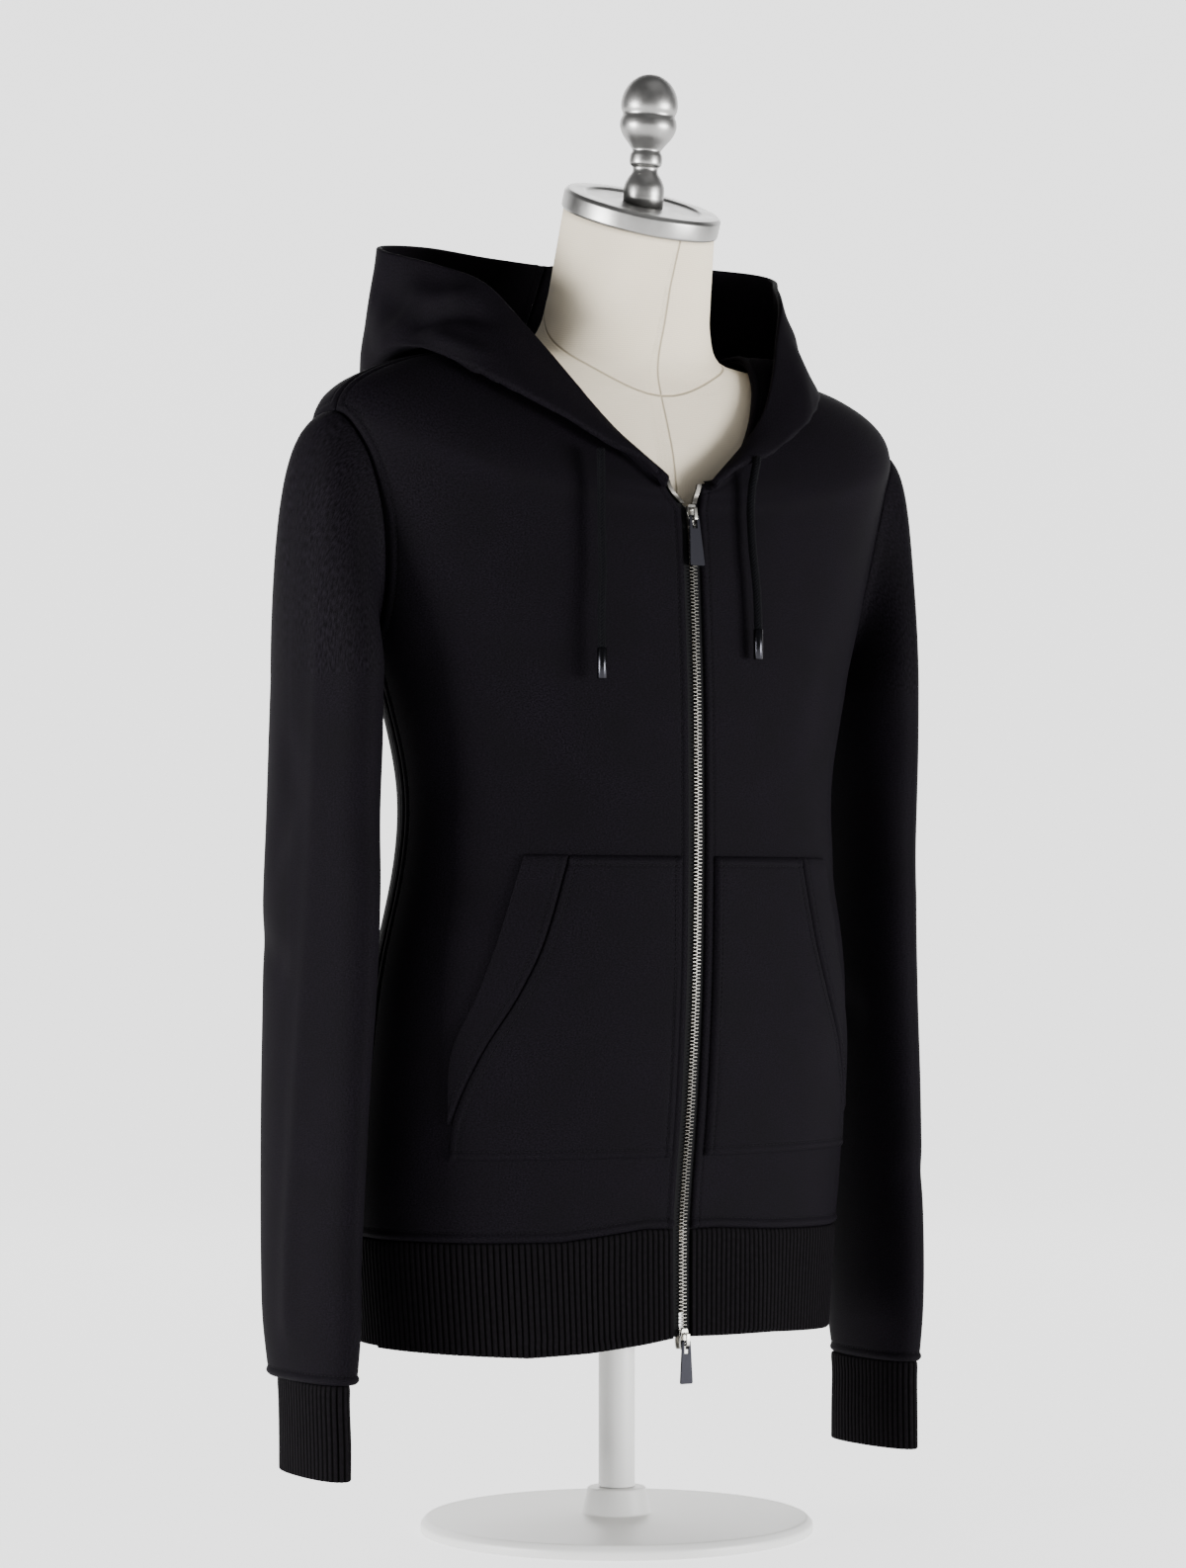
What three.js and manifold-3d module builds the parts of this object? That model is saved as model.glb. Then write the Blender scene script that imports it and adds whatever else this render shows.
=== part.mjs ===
// A full-zip hooded sweater on a tailor's form, in millimetres, +Z up.
// The origin is under the middle of the stand's base; the zip faces -Y and the wearer's left is +X.
import * as THREE from 'three';
import { mergeVertices } from 'three/addons/utils/BufferGeometryUtils.js';
import Module from 'manifold-3d';

const wasm = await Module();
wasm.setup();

// Driving dimensions
const HEM_HEIGHT = 140;        // bottom edge of the hem band above the floor
const CLOTH = 2.0;             // thickness of the double jersey
const SEAM_GAP = 0.4;          // between two pieces that are sewn together
const SLEEVE_GAP = 0.7;        // the same at the armhole, measured straight out
const LIFT = 1.0;              // between a panel and what lies on it
const ROUNDNESS = 0.91;        // 1 is an ellipse, less is squarer
const RIB_TOP = 70;            // level of the seam between hem band and body
const ZIP_EDGE = 7;            // from the centre line to the folded edge of each front
const FLARE_LEVEL = 590;       // where the two fronts begin to part above the slider
const NECK_LEVEL = 730;        // level of the neck seam
const ARMPIT_LEVEL = 465;      // lower end of the armhole
const SHOULDER_LEVEL = 612;    // upper end of the armhole, at the tip of the shoulder
const ARM_STEPS = 18;          // flats around a sleeve
const DEGREE = Math.PI / 180;

// The garment's outside from hem to neck. Each row is one level: its half width, its depth in front of
// and behind the middle, and the heights that the level has at the side, the front and the back.
const TORSO = [
  { level: 0, side: 178, front: 82, back: 131, zSide: 0, zFront: 0, zBack: 0 },
  { level: 70, side: 184, front: 82, back: 131, zSide: 70, zFront: 70, zBack: 70 },
  { level: 103, side: 186, front: 85, back: 129, zSide: 103, zFront: 103, zBack: 103 },
  { level: 160, side: 184, front: 92, back: 122, zSide: 160, zFront: 160, zBack: 160 },
  { level: 240, side: 179, front: 98, back: 109, zSide: 240, zFront: 240, zBack: 240 },
  { level: 320, side: 165, front: 100, back: 98, zSide: 320, zFront: 320, zBack: 320 },
  { level: 370, side: 163, front: 100, back: 98, zSide: 370, zFront: 370, zBack: 370 },
  { level: 430, side: 175, front: 99, back: 104, zSide: 430, zFront: 430, zBack: 430 },
  { level: 490, side: 194, front: 96, back: 110, zSide: 490, zFront: 490, zBack: 490 },
  { level: 540, side: 209, front: 93, back: 112, zSide: 543, zFront: 535, zBack: 540 },
  { level: 580, side: 220, front: 91, back: 110, zSide: 586, zFront: 551, zBack: 573 },
  { level: 612, side: 225, front: 90.5, back: 105, zSide: 614, zFront: 558, zBack: 598 },
  { level: 640, side: 212, front: 90, back: 98, zSide: 634, zFront: 562, zBack: 620 },
  { level: 670, side: 178, front: 90, back: 88, zSide: 650, zFront: 565, zBack: 641 },
  { level: 700, side: 130, front: 90, back: 79, zSide: 661, zFront: 568, zBack: 655 },
  { level: 730, side: 88, front: 90, back: 70, zSide: 670, zFront: 571, zBack: 663 },
];

// The sleeve's cross-sections below the armhole: centre, half thickness across the body,
// half depth front to back, and how far the flat oval is turned out at the front.
const SLEEVE = [
  { z: 440, x: 216, y: 20, thick: 25.5, deep: 66, turn: 3 },
  { z: 400, x: 217, y: 20, thick: 25, deep: 66, turn: 2 },
  { z: 350, x: 218.5, y: 21, thick: 24, deep: 65, turn: 1 },
  { z: 290, x: 220, y: 21, thick: 23, deep: 65, turn: -1 },
  { z: 230, x: 222, y: 20, thick: 22, deep: 63.5, turn: -1 },
  { z: 170, x: 225.5, y: 19, thick: 20, deep: 62, turn: -1 },
  { z: 110, x: 228, y: 18, thick: 19, deep: 60, turn: -1 },
  { z: 50, x: 230.5, y: 16, thick: 18.5, deep: 57, turn: -1 },
  { z: 10, x: 231, y: 14, thick: 18, deep: 54.5, turn: -2 },
  { z: -27, x: 231, y: 12.5, thick: 16.5, deep: 48.5, turn: -2 },
];
const CUFF = [
  { z: -27.4, x: 230, y: 13, thick: 14.5, deep: 45, turn: 3 },
  { z: -40, x: 230, y: 12.5, thick: 14, deep: 44, turn: 3 },
  { z: -66, x: 229.5, y: 12, thick: 14, deep: 44.5, turn: 3 },
  { z: -90, x: 229.5, y: 12, thick: 13.5, deep: 45, turn: 3 },
];

// The hood, thrown back. Each row is one section of a half: the angle where it leaves the neck seam,
// then where it lies on the body (under), folds (fold), comes back over (over) and ends (rim).
const HOOD = [
  { neck: 5, under: [8, -93, 572], fold: [9, -96, 573], over: [9, -96, 577], rim: [8, -93, 582] },
  { neck: 22, under: [34, -92, 585], fold: [33, -95, 584], over: [40, -92, 593], rim: [45, -84, 604] },
  { neck: 42, under: [66, -80, 606], fold: [64, -90, 595], over: [74, -83, 612], rim: [72, -72, 630] },
  { neck: 56, under: [90, -66, 630], fold: [92, -82, 611], over: [101, -71, 633], rim: [90, -57, 658] },
  { neck: 68, under: [110, -50, 648], fold: [120, -70, 626], over: [125, -56, 652], rim: [104, -41, 678] },
  { neck: 82, under: [130, -29, 667], fold: [148, -46, 644], over: [141, -34, 669], rim: [120, -23, 703] },
  { neck: 100, under: [128, 14, 672], fold: [164, 0, 661], over: [147, 6, 692], rim: [137, 7, 722] },
  { neck: 120, under: [120, 50, 668], fold: [160, 48, 658], over: [160, 47, 694], rim: [156, 41, 738] },
  { neck: 138, under: [96, 84, 652], fold: [138, 98, 622], over: [146, 86, 680], rim: [143, 66, 742] },
  { neck: 156, under: [62, 107, 634], fold: [98, 129, 534], over: [106, 131, 645], rim: [100, 82, 744] },
  { neck: 170, under: [28, 117, 616], fold: [50, 142, 492], over: [54, 156, 622], rim: [50, 90, 743] },
  { neck: 180, under: [0, 120, 612], fold: [0, 145, 482], over: [0, 163, 614], rim: [0, 93, 742] },
];

// The linen form inside, up to the top of its neck: half width, depth in front and behind, and how much
// higher each ring is at its sides, so that the shoulders slope.
const FORM = [
  { z: 62, side: 150, front: 62, back: 108, rise: 0 },
  { z: 70, side: 158, front: 66, back: 114, rise: 0 },
  { z: 160, side: 160, front: 74, back: 104, rise: 0 },
  { z: 240, side: 152, front: 80, back: 90, rise: 0 },
  { z: 330, side: 142, front: 84, back: 80, rise: 0 },
  { z: 430, side: 152, front: 84, back: 88, rise: 0 },
  { z: 500, side: 168, front: 80, back: 94, rise: 0 },
  { z: 550, side: 182, front: 76, back: 92, rise: 2 },
  { z: 590, side: 186, front: 70, back: 88, rise: 10.4 },
  { z: 615, side: 174, front: 62, back: 82, rise: 18.4 },
  { z: 634, side: 148, front: 55, back: 74, rise: 19.4 },
  { z: 648, side: 108, front: 51, back: 63, rise: 14.4 },
  { z: 662, side: 76, front: 52, back: 52, rise: 3 },
  { z: 682, side: 61, front: 59, back: 41, rise: 0 },
  { z: 706, side: 56, front: 66, back: 34, rise: 0 },
];
const NECK_TOP = { y: -28, z: 755, side: 52, deep: 54, tilt: 27 };
const CAP = { side: 54, deep: 56, height: 14, recess: 39, recessDepth: 1.4 };
const KNOB = { height: 87, tilt: 7, sink: 12 };
const POLE = { radius: 12.5 };
const STAND_GAP = 0.3;         // between the hard pieces of the stand and form
const BASE = { radius: 135, thick: 10, collar: 24, collarTop: 30 };

// Zip hardware
const SLIDER = {
  width: 8.6, length: 14, plate: 1.8, backDepth: 3.8, backPlate: 1.2, neck: 2.4, neckLength: 3,
};
const BRIDGE = { width: 2.6, length: 9, height: 4.4, bar: 1.3, leg: 1.5 };
const TABS = {
  top: { length: 34, narrow: 7.7, wide: 11.6 },
  bottom: { length: 29, narrow: 6.6, wide: 9.8 },
};
const TAB = { thick: 1.5, bar: 1.5, slot: 8, slotWidth: 3.4, corner: 1.2 };

// Small helpers for smooth tables and closed walls
function column(rows, key, name, value) {
  const last = rows.length - 1;
  const rising = rows[last][key] > rows[0][key];
  let i = 0;
  while (i < last - 1 && (rising ? value > rows[i + 1][key] : value < rows[i + 1][key])) i += 1;
  const slope = (j) => {
    const a = rows[Math.max(j - 1, 0)];
    const b = rows[Math.min(j + 1, last)];
    return (b[name] - a[name]) / (b[key] - a[key]);
  };
  const step = rows[i + 1][key] - rows[i][key];
  const t = (value - rows[i][key]) / step;
  const rise = t * t * (3 - 2 * t);
  const start = t * (1 - t) * (1 - t) * slope(i);
  const end = t * t * (t - 1) * slope(i + 1);
  return rows[i][name] + (rows[i + 1][name] - rows[i][name]) * rise + (start + end) * step;
}

function rounded(value) {
  return Math.sign(value) * Math.abs(value) ** ROUNDNESS;
}

function torsoPoint(angle, level) {
  const across = Math.sin(angle);
  const along = Math.cos(angle);
  const side = column(TORSO, 'level', 'side', level);
  const front = column(TORSO, 'level', 'front', level);
  const back = column(TORSO, 'level', 'back', level);
  const zSide = column(TORSO, 'level', 'zSide', level);
  const zEnd = column(TORSO, 'level', along > 0 ? 'zFront' : 'zBack', level);
  const y = (back - front) / 2 - ((back + front) / 2) * rounded(along);
  const z = zEnd + (zSide - zEnd) * across * across;
  return new THREE.Vector3(side * rounded(across), y, z + HEM_HEIGHT);
}

// A point of the garment's surface, moved out along the surface's normal.
function torso(angle, level, out = 0) {
  const point = torsoPoint(angle, level);
  if (out === 0) return point;
  const nudge = 0.01;
  const round = torsoPoint(angle + nudge, level).sub(torsoPoint(angle - nudge, level));
  const top = Math.min(level + 3, NECK_LEVEL);
  const bottom = Math.max(level - 3, 0);
  const up = torsoPoint(angle, top).sub(torsoPoint(angle, bottom));
  return point.add(round.cross(up).normalize().multiplyScalar(out));
}

// The angle at which a level of the garment is x from the centre line.
function angleAt(x, level) {
  const side = column(TORSO, 'level', 'side', level);
  return Math.asin(Math.min(x / side, 1) ** (1 / ROUNDNESS));
}

function toMesh(name, geometry, material) {
  const mesh = new THREE.Mesh(geometry, material);
  mesh.name = name;
  return mesh;
}

// A closed mesh from points and triangles, turned so that its faces look outwards.
function facedGeometry(points, faces) {
  const wedge = ([a, b, c]) => points[a].dot(points[b].clone().cross(points[c]));
  const volume = faces.reduce((sum, face) => sum + wedge(face), 0);
  if (volume < 0) faces.forEach((face) => face.reverse());
  const geometry = new THREE.BufferGeometry();
  const numbers = points.flatMap((point) => point.toArray());
  geometry.setAttribute('position', new THREE.Float32BufferAttribute(numbers, 3));
  geometry.setIndex(faces.flat());
  return geometry;
}

// A closed wall between an outer and an inner grid of points. A tube's rows close on themselves.
function wall(outer, inner, tube = false) {
  const rows = outer.length;
  const cols = outer[0].length;
  const spans = tube ? cols : cols - 1;
  const points = [...outer.flat(), ...inner.flat()];
  const half = rows * cols;
  const at = (i, j, skin) => skin * half + i * cols + (j % cols);
  const faces = [];
  const quad = (a, b, c, d) => faces.push([a, b, c], [a, c, d]);
  for (let i = 0; i < rows - 1; i += 1) {
    for (let j = 0; j < spans; j += 1) {
      quad(at(i, j, 0), at(i, j + 1, 0), at(i + 1, j + 1, 0), at(i + 1, j, 0));
      quad(at(i, j, 1), at(i + 1, j, 1), at(i + 1, j + 1, 1), at(i, j + 1, 1));
    }
    if (!tube) {
      quad(at(i, 0, 0), at(i + 1, 0, 0), at(i + 1, 0, 1), at(i, 0, 1));
      quad(at(i, spans, 0), at(i, spans, 1), at(i + 1, spans, 1), at(i + 1, spans, 0));
    }
  }
  for (let j = 0; j < spans; j += 1) {
    quad(at(0, j, 0), at(0, j, 1), at(0, j + 1, 1), at(0, j + 1, 0));
    quad(at(rows - 1, j, 0), at(rows - 1, j + 1, 0), at(rows - 1, j + 1, 1), at(rows - 1, j, 1));
  }
  return facedGeometry(points, faces);
}

function range(count, from, to) {
  return Array.from({ length: count + 1 }, (_, i) => from + ((to - from) * i) / count);
}

// A piece of the garment's surface: angles(level) gives its two edges, lift how far out its inner face lies.
function patch(levels, cols, angles, lift, thick, side = 1) {
  const skin = (out) => levels.map((level) => {
    const [from, to] = angles(level);
    return range(cols, from, to).map((angle) => torso(side * angle, level, out));
  });
  return wall(skin(lift + thick), skin(lift));
}

function ringPoint(row, turn, side) {
  const swing = row.turn * DEGREE;
  const out = row.thick * rounded(Math.cos(turn));
  const fore = -row.deep * rounded(Math.sin(turn));
  const x = row.x + out * Math.cos(swing) - fore * Math.sin(swing);
  const y = row.y + out * Math.sin(swing) + fore * Math.cos(swing);
  return new THREE.Vector3(side * x, y, row.z + HEM_HEIGHT);
}

// The inner grid of a wall whose outer grid is given: each point moved in along its own normal.
function inset(grid, thick, tube, sign) {
  const rows = grid.length;
  const cols = grid[0].length;
  return grid.map((row, i) => row.map((point, j) => {
    const before = tube ? (j + cols - 1) % cols : Math.max(j - 1, 0);
    const after = tube ? (j + 1) % cols : Math.min(j + 1, cols - 1);
    const round = row[after].clone().sub(row[before]);
    const down = grid[Math.min(i + 1, rows - 1)][j].clone().sub(grid[Math.max(i - 1, 0)][j]);
    return point.clone().add(round.cross(down).normalize().multiplyScalar(sign * thick));
  }));
}

// Materials
function finish(color, roughness, metalness) {
  return new THREE.MeshStandardMaterial({ color, roughness, metalness });
}
const jersey = () => finish('#1b1a20', 0.85, 0);
const rib = () => finish('#18171c', 0.9, 0);
const tape = () => finish('#101013', 0.8, 0);
const nickel = () => finish('#a9a8a6', 0.3, 1);
const darkTab = () => finish('#3a3a3e', 0.45, 0.6);
const braid = () => finish('#1a191d', 0.8, 0);
const gunmetal = () => finish('#3b3b40', 0.25, 1);
const linen = () => finish('#cfc4b0', 0.9, 0);
const castMetal = () => finish('#b9b8b5', 0.3, 1);
const paint = () => finish('#d4d4d2', 0.5, 0.1);

const group = new THREE.Group();
// The left arm hangs lower, and the right front is drawn aside at the top of the zip.
const sides = [
  { word: 'right', side: -1, hang: 0, flare: 12 },
  { word: 'left', side: 1, hang: 8, flare: 3 },
];
function zipFlare(flare, level) {
  const part = Math.min(Math.max((level - FLARE_LEVEL) / (NECK_LEVEL - FLARE_LEVEL), 0), 1);
  return flare * part * (2 - part);
}

// Armhole: an egg-shaped opening in the side of the body
const ARMHOLE_MIDDLE = (ARMPIT_LEVEL + SHOULDER_LEVEL) / 2;
const ARMHOLE_HALF = (SHOULDER_LEVEL - ARMPIT_LEVEL) / 2;
const SEAM_LINE = [
  { level: 0, degrees: 96 },
  { level: ARMPIT_LEVEL, degrees: 96 },
  { level: SHOULDER_LEVEL, degrees: 84 },
  { level: NECK_LEVEL, degrees: 92 },
];
function sideSeam(level) {
  const i = SEAM_LINE.findIndex((row, k) => k > 0 && level <= row.level) || 1;
  const above = SEAM_LINE[i];
  const below = SEAM_LINE[i - 1];
  const part = (level - below.level) / (above.level - below.level);
  return (below.degrees + (above.degrees - below.degrees) * part) * DEGREE;
}
function armhole(turn) {
  const level = ARMHOLE_MIDDLE + ARMHOLE_HALF * Math.cos(turn);
  const reach = Math.sin(turn) > 0 ? 19 : 30;
  return { level, angle: sideSeam(level) - reach * DEGREE * Math.sin(turn) };
}
function armholeAngle(level, towards) {
  if (level <= ARMPIT_LEVEL || level >= SHOULDER_LEVEL) return sideSeam(level);
  const turn = Math.acos((level - ARMHOLE_MIDDLE) / ARMHOLE_HALF);
  return armhole(towards * turn).angle;
}
const armholeLevels = range(ARM_STEPS / 2, Math.PI, 0).map((turn) => armhole(turn).level);
const bodyLevels = [
  RIB_TOP + SEAM_GAP, 105, 145, 190, 235, 280, 325, 370, 410, 440,
  ...armholeLevels, 640, 670, 700, NECK_LEVEL,
];

// Front panels and back
const edgeGap = (level) => SEAM_GAP / 2 / column(TORSO, 'level', 'side', level);
for (const { word, side, flare } of sides) {
  const zipEdge = (level) => angleAt(ZIP_EDGE + zipFlare(flare, level), level);
  const edges = (level) => [zipEdge(level), armholeAngle(level, 1) - edgeGap(level)];
  group.add(toMesh(`front_${word}`, patch(bodyLevels, 10, edges, -CLOTH, CLOTH, side), jersey()));
}
const backEdges = (level) => {
  const edge = armholeAngle(level, -1) + edgeGap(level);
  return [edge, 2 * Math.PI - edge];
};
group.add(toMesh('back', patch(bodyLevels, 18, backEdges, -CLOTH, CLOTH), jersey()));

// Hem band, one strip from zip edge to zip edge
const hemEdges = (level) => [angleAt(ZIP_EDGE, level), 2 * Math.PI - angleAt(ZIP_EDGE, level)];
const hemBand = patch([0, 12, 60, RIB_TOP], 40, hemEdges, -CLOTH, CLOTH);
group.add(toMesh('hem_rib', hemBand, rib()));

// Sleeves: from the armhole over the shoulder into a flat hanging tube
const turns = range(ARM_STEPS, 0, 2 * Math.PI).slice(0, ARM_STEPS);
const ring = (row, side) => turns.map((turn) => ringPoint(row, turn, side));
// One arm hangs a little lower than the other; the difference grows down the sleeve.
function lowered(row, hang) {
  const top = SLEEVE[0].z;
  return { ...row, z: row.z - hang * Math.min((top - row.z) / top, 1) };
}
function sleeveRings(side, hang) {
  const start = turns.map((turn) => {
    const { level, angle } = armhole(turn);
    return torso(side * angle, level);
  });
  const end = ring(SLEEVE[0], side);
  const cap = [0, 0.16, 0.34, 0.54, 0.76].map((t) => turns.map((turn, j) => {
    const height = start[j].z - end[j].z;
    const lead = new THREE.Vector3(side * (6 + height * 0.13), 0, -height * 0.06);
    const first = start[j].clone().add(lead);
    const second = end[j].clone().add(new THREE.Vector3(0, 0, height * 0.5));
    const curve = new THREE.CubicBezierCurve3(start[j], first, second, end[j]);
    return curve.getPoint(t).add(new THREE.Vector3(side * SLEEVE_GAP * (1 - t), 0, 0));
  }));
  return [...cap, ...SLEEVE.map((row) => lowered(row, hang)).map((row) => ring(row, side))];
}
for (const { word, side, hang } of sides) {
  const rings = sleeveRings(side, hang);
  group.add(toMesh(`sleeve_${word}`, wall(rings, inset(rings, CLOTH, true, -side), true), jersey()));
  const cuff = CUFF.map((row) => ring(lowered(row, hang), side));
  group.add(toMesh(`cuff_${word}`, wall(cuff, inset(cuff, CLOTH, true, -side), true), rib()));
}

// Hood halves, meeting in the centre seam
function hoodGrid(side, flare) {
  return HOOD.map((row) => {
    const aside = flare * Math.max(1 - row.neck / 45, 0);
    const neck = torso(side * row.neck * DEGREE, NECK_LEVEL);
    neck.add(new THREE.Vector3(side * aside, 0, SEAM_GAP + CLOTH));
    const stops = [row.under, row.fold, row.over, row.rim].map(
      ([x, y, z]) => new THREE.Vector3(side * (x + aside), y, z + HEM_HEIGHT),
    );
    return new THREE.CatmullRomCurve3([neck, ...stops], false, 'centripetal').getSpacedPoints(12);
  });
}
// The two halves meet at the centre, so nothing of either crosses it.
function keptAside(grid, side) {
  return grid.map((row) => row.map((p) => p.setX(side * Math.max(side * p.x, SEAM_GAP / 2))));
}
for (const { word, side, flare } of sides) {
  const grid = hoodGrid(side, flare);
  const inner = keptAside(inset(grid, CLOTH, false, side), side);
  group.add(toMesh(`hood_${word}`, wall(keptAside(grid, side), inner), jersey()));
}

// Pockets: a patch beside the zip, and the welt along its slanted opening
const POCKET_BOTTOM = 121;
const POCKET_TOP = 322;
const POCKET_INNER = 13;
const POCKET = [
  { level: 121, seam: 159, edge: 160 },
  { level: 150, seam: 157, edge: 160 },
  { level: 193, seam: 143, edge: 159 },
  { level: 230, seam: 124, edge: 147 },
  { level: 265, seam: 109, edge: 136 },
  { level: 322, seam: 93, edge: 120 },
];
const pocketSeam = (level) => angleAt(column(POCKET, 'level', 'seam', level), level);
const pocketEdge = (level) => angleAt(column(POCKET, 'level', 'edge', level), level);
const pocketLevels = [POCKET_BOTTOM, 145, 190, 235, 280, POCKET_TOP];
for (const { word, side } of sides) {
  const inside = (level) => [angleAt(POCKET_INNER, level), pocketSeam(level)];
  group.add(toMesh(`pocket_${word}`, patch(pocketLevels, 7, inside, LIFT, CLOTH, side), jersey()));
  const welt = (level) => [pocketSeam(level) + 2 * edgeGap(level), pocketEdge(level)];
  const weltLevels = pocketLevels.slice(1);
  group.add(toMesh(`pocket_welt_${word}`, patch(weltLevels, 2, welt, LIFT, CLOTH, side), jersey()));
}

// Zip: tapes behind the front edges, the closed chain between the sliders, the open rows above
const ZIP_BOTTOM = 0.6;
const ZIP_TOP = 574;
const ZIP_OPEN = 612;
const TAPE = { inner: 1.7, spread: 2.6, outer: 14, depth: 2.6, thick: 0.8 };
const CHAIN = { half: 3, row: 2.3, depth: 2.2, thick: 2 };
const zipLevels = [0, ZIP_BOTTOM, 70, 105, 145, 190, 235, 280, 325, 370, 410, 440, 475, 510, 540, ZIP_TOP];
const openLevels = [ZIP_OPEN, 625, 660, NECK_LEVEL];
for (const { word, side, flare } of sides) {
  const opened = (level) => Math.max(level - ZIP_OPEN, 0) / (NECK_LEVEL - ZIP_OPEN);
  const tapeInner = (level) => TAPE.inner + zipFlare(flare, level) + TAPE.spread * opened(level);
  const tapeOuter = (level) => TAPE.outer + zipFlare(flare, level);
  const span = (level) => [angleAt(tapeInner(level), level), angleAt(tapeOuter(level), level)];
  const strip = patch([...zipLevels, ...openLevels], 1, span, -TAPE.depth - TAPE.thick, TAPE.thick, side);
  group.add(toMesh(`zip_tape_${word}`, strip, tape()));
  const teeth = (level) => [angleAt(tapeInner(level), level), angleAt(tapeInner(level) + CHAIN.row, level)];
  const row = patch(openLevels, 1, teeth, -CHAIN.depth, CHAIN.thick, side);
  group.add(toMesh(`zip_row_${word}`, row, nickel()));
}
const chainSpan = (level) => [-angleAt(CHAIN.half, level), angleAt(CHAIN.half, level)];
const chain = patch(zipLevels.slice(1), 2, chainSpan, -CHAIN.depth, CHAIN.thick);
group.add(toMesh('zip_chain', chain, nickel()));

// Joining and cutting closed meshes
function toSolid(geometry) {
  const bare = geometry.clone();
  bare.deleteAttribute('normal');
  bare.deleteAttribute('uv');
  const merged = mergeVertices(bare, 1e-4);
  return new wasm.Manifold(new wasm.Mesh({
    numProp: 3,
    vertProperties: merged.attributes.position.array,
    triVerts: new Uint32Array(merged.index.array),
  }));
}
function fromSolid(solid) {
  const mesh = solid.getMesh();
  const geometry = new THREE.BufferGeometry();
  geometry.setAttribute('position', new THREE.BufferAttribute(mesh.vertProperties, 3));
  geometry.setIndex(new THREE.BufferAttribute(mesh.triVerts, 1));
  return geometry;
}
function block(width, depth, height, x, y, z) {
  return new THREE.BoxGeometry(width, depth, height).translate(x, y, z);
}

// Slider: a front plate and a back plate joined by a neck between the tapes, with the pull's bridge
// on the front. In its own frame the cloth's surface is at y = 0 and the zip runs along z.
const PLATE_FACE = 0.15;
const JOIN = 0.4;
function plateOutline() {
  const half = SLIDER.width / 2;
  const end = SLIDER.length / 2;
  const shape = new THREE.Shape();
  shape.moveTo(-half * 0.55, -end);
  shape.lineTo(half * 0.55, -end);
  shape.lineTo(half * 0.8, -end * 0.2);
  shape.quadraticCurveTo(half, end * 0.6, half * 0.6, end);
  shape.lineTo(-half * 0.6, end);
  shape.quadraticCurveTo(-half, end * 0.6, -half * 0.8, -end * 0.2);
  shape.closePath();
  return shape;
}
function sliderGeometry() {
  const plateAt = (depth, y) => {
    const options = { depth, bevelEnabled: false, curveSegments: 4 };
    return new THREE.ExtrudeGeometry(plateOutline(), options).rotateX(Math.PI / 2).translate(0, y, 0);
  };
  const plate = plateAt(SLIDER.plate, -PLATE_FACE);
  const back = plateAt(SLIDER.backPlate, SLIDER.backDepth + SLIDER.backPlate);
  const neckDepth = SLIDER.backDepth + PLATE_FACE + 2 * JOIN;
  const neckPlace = (SLIDER.length - SLIDER.neckLength) / 2 - JOIN;
  const neckMiddle = SLIDER.backDepth + JOIN - neckDepth / 2;
  const neck = block(SLIDER.neck, neckDepth, SLIDER.neckLength, 0, neckMiddle, neckPlace);
  const face = -PLATE_FACE - SLIDER.plate;
  const archHeight = BRIDGE.height + JOIN;
  const arch = block(BRIDGE.width, archHeight, BRIDGE.length, 0, face + JOIN - archHeight / 2, 0);
  const holeHeight = BRIDGE.height - BRIDGE.bar;
  const holeLength = BRIDGE.length - 2 * BRIDGE.leg;
  const hole = block(2 * BRIDGE.width, holeHeight, holeLength, 0, face - holeHeight / 2, 0);
  const bridge = toSolid(arch).subtract(toSolid(hole));
  return fromSolid(toSolid(plate).add(toSolid(back)).add(toSolid(neck)).add(bridge));
}

// Pull tab: a tapering plate hung by the bar above its slot, with its own origin on the bar's axis.
function tabGeometry({ length, narrow, wide }) {
  const outline = new THREE.Shape();
  const top = TAB.bar / 2;
  const bottom = top - length;
  const corner = TAB.corner;
  outline.moveTo(-narrow / 2 + corner, top);
  outline.lineTo(narrow / 2 - corner, top);
  outline.quadraticCurveTo(narrow / 2, top, narrow / 2, top - corner);
  outline.lineTo(wide / 2, bottom + corner);
  outline.quadraticCurveTo(wide / 2, bottom, wide / 2 - corner, bottom);
  outline.lineTo(-wide / 2 + corner, bottom);
  outline.quadraticCurveTo(-wide / 2, bottom, -wide / 2, bottom + corner);
  outline.lineTo(-narrow / 2, top - corner);
  outline.quadraticCurveTo(-narrow / 2, top, -narrow / 2 + corner, top);
  const slot = new THREE.Path();
  const half = TAB.slotWidth / 2;
  slot.moveTo(-half, -TAB.bar / 2);
  slot.lineTo(-half, -TAB.slot);
  slot.lineTo(half, -TAB.slot);
  slot.lineTo(half, -TAB.bar / 2);
  slot.closePath();
  outline.holes.push(slot);
  const options = { depth: TAB.thick, bevelEnabled: false, curveSegments: 3 };
  return new THREE.ExtrudeGeometry(outline, options).rotateX(Math.PI / 2).translate(0, TAB.thick / 2, 0);
}
const AXIS_OUT = PLATE_FACE + SLIDER.plate + (BRIDGE.height - BRIDGE.bar) / 2;
const AXIS_DROP = BRIDGE.length / 2 - BRIDGE.leg - 1.4;
const SLIDERS = [
  { word: 'top', level: 577, drop: 0, end: 1 },
  { word: 'bottom', level: 0, drop: 1.5, end: -1 },
];
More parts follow.
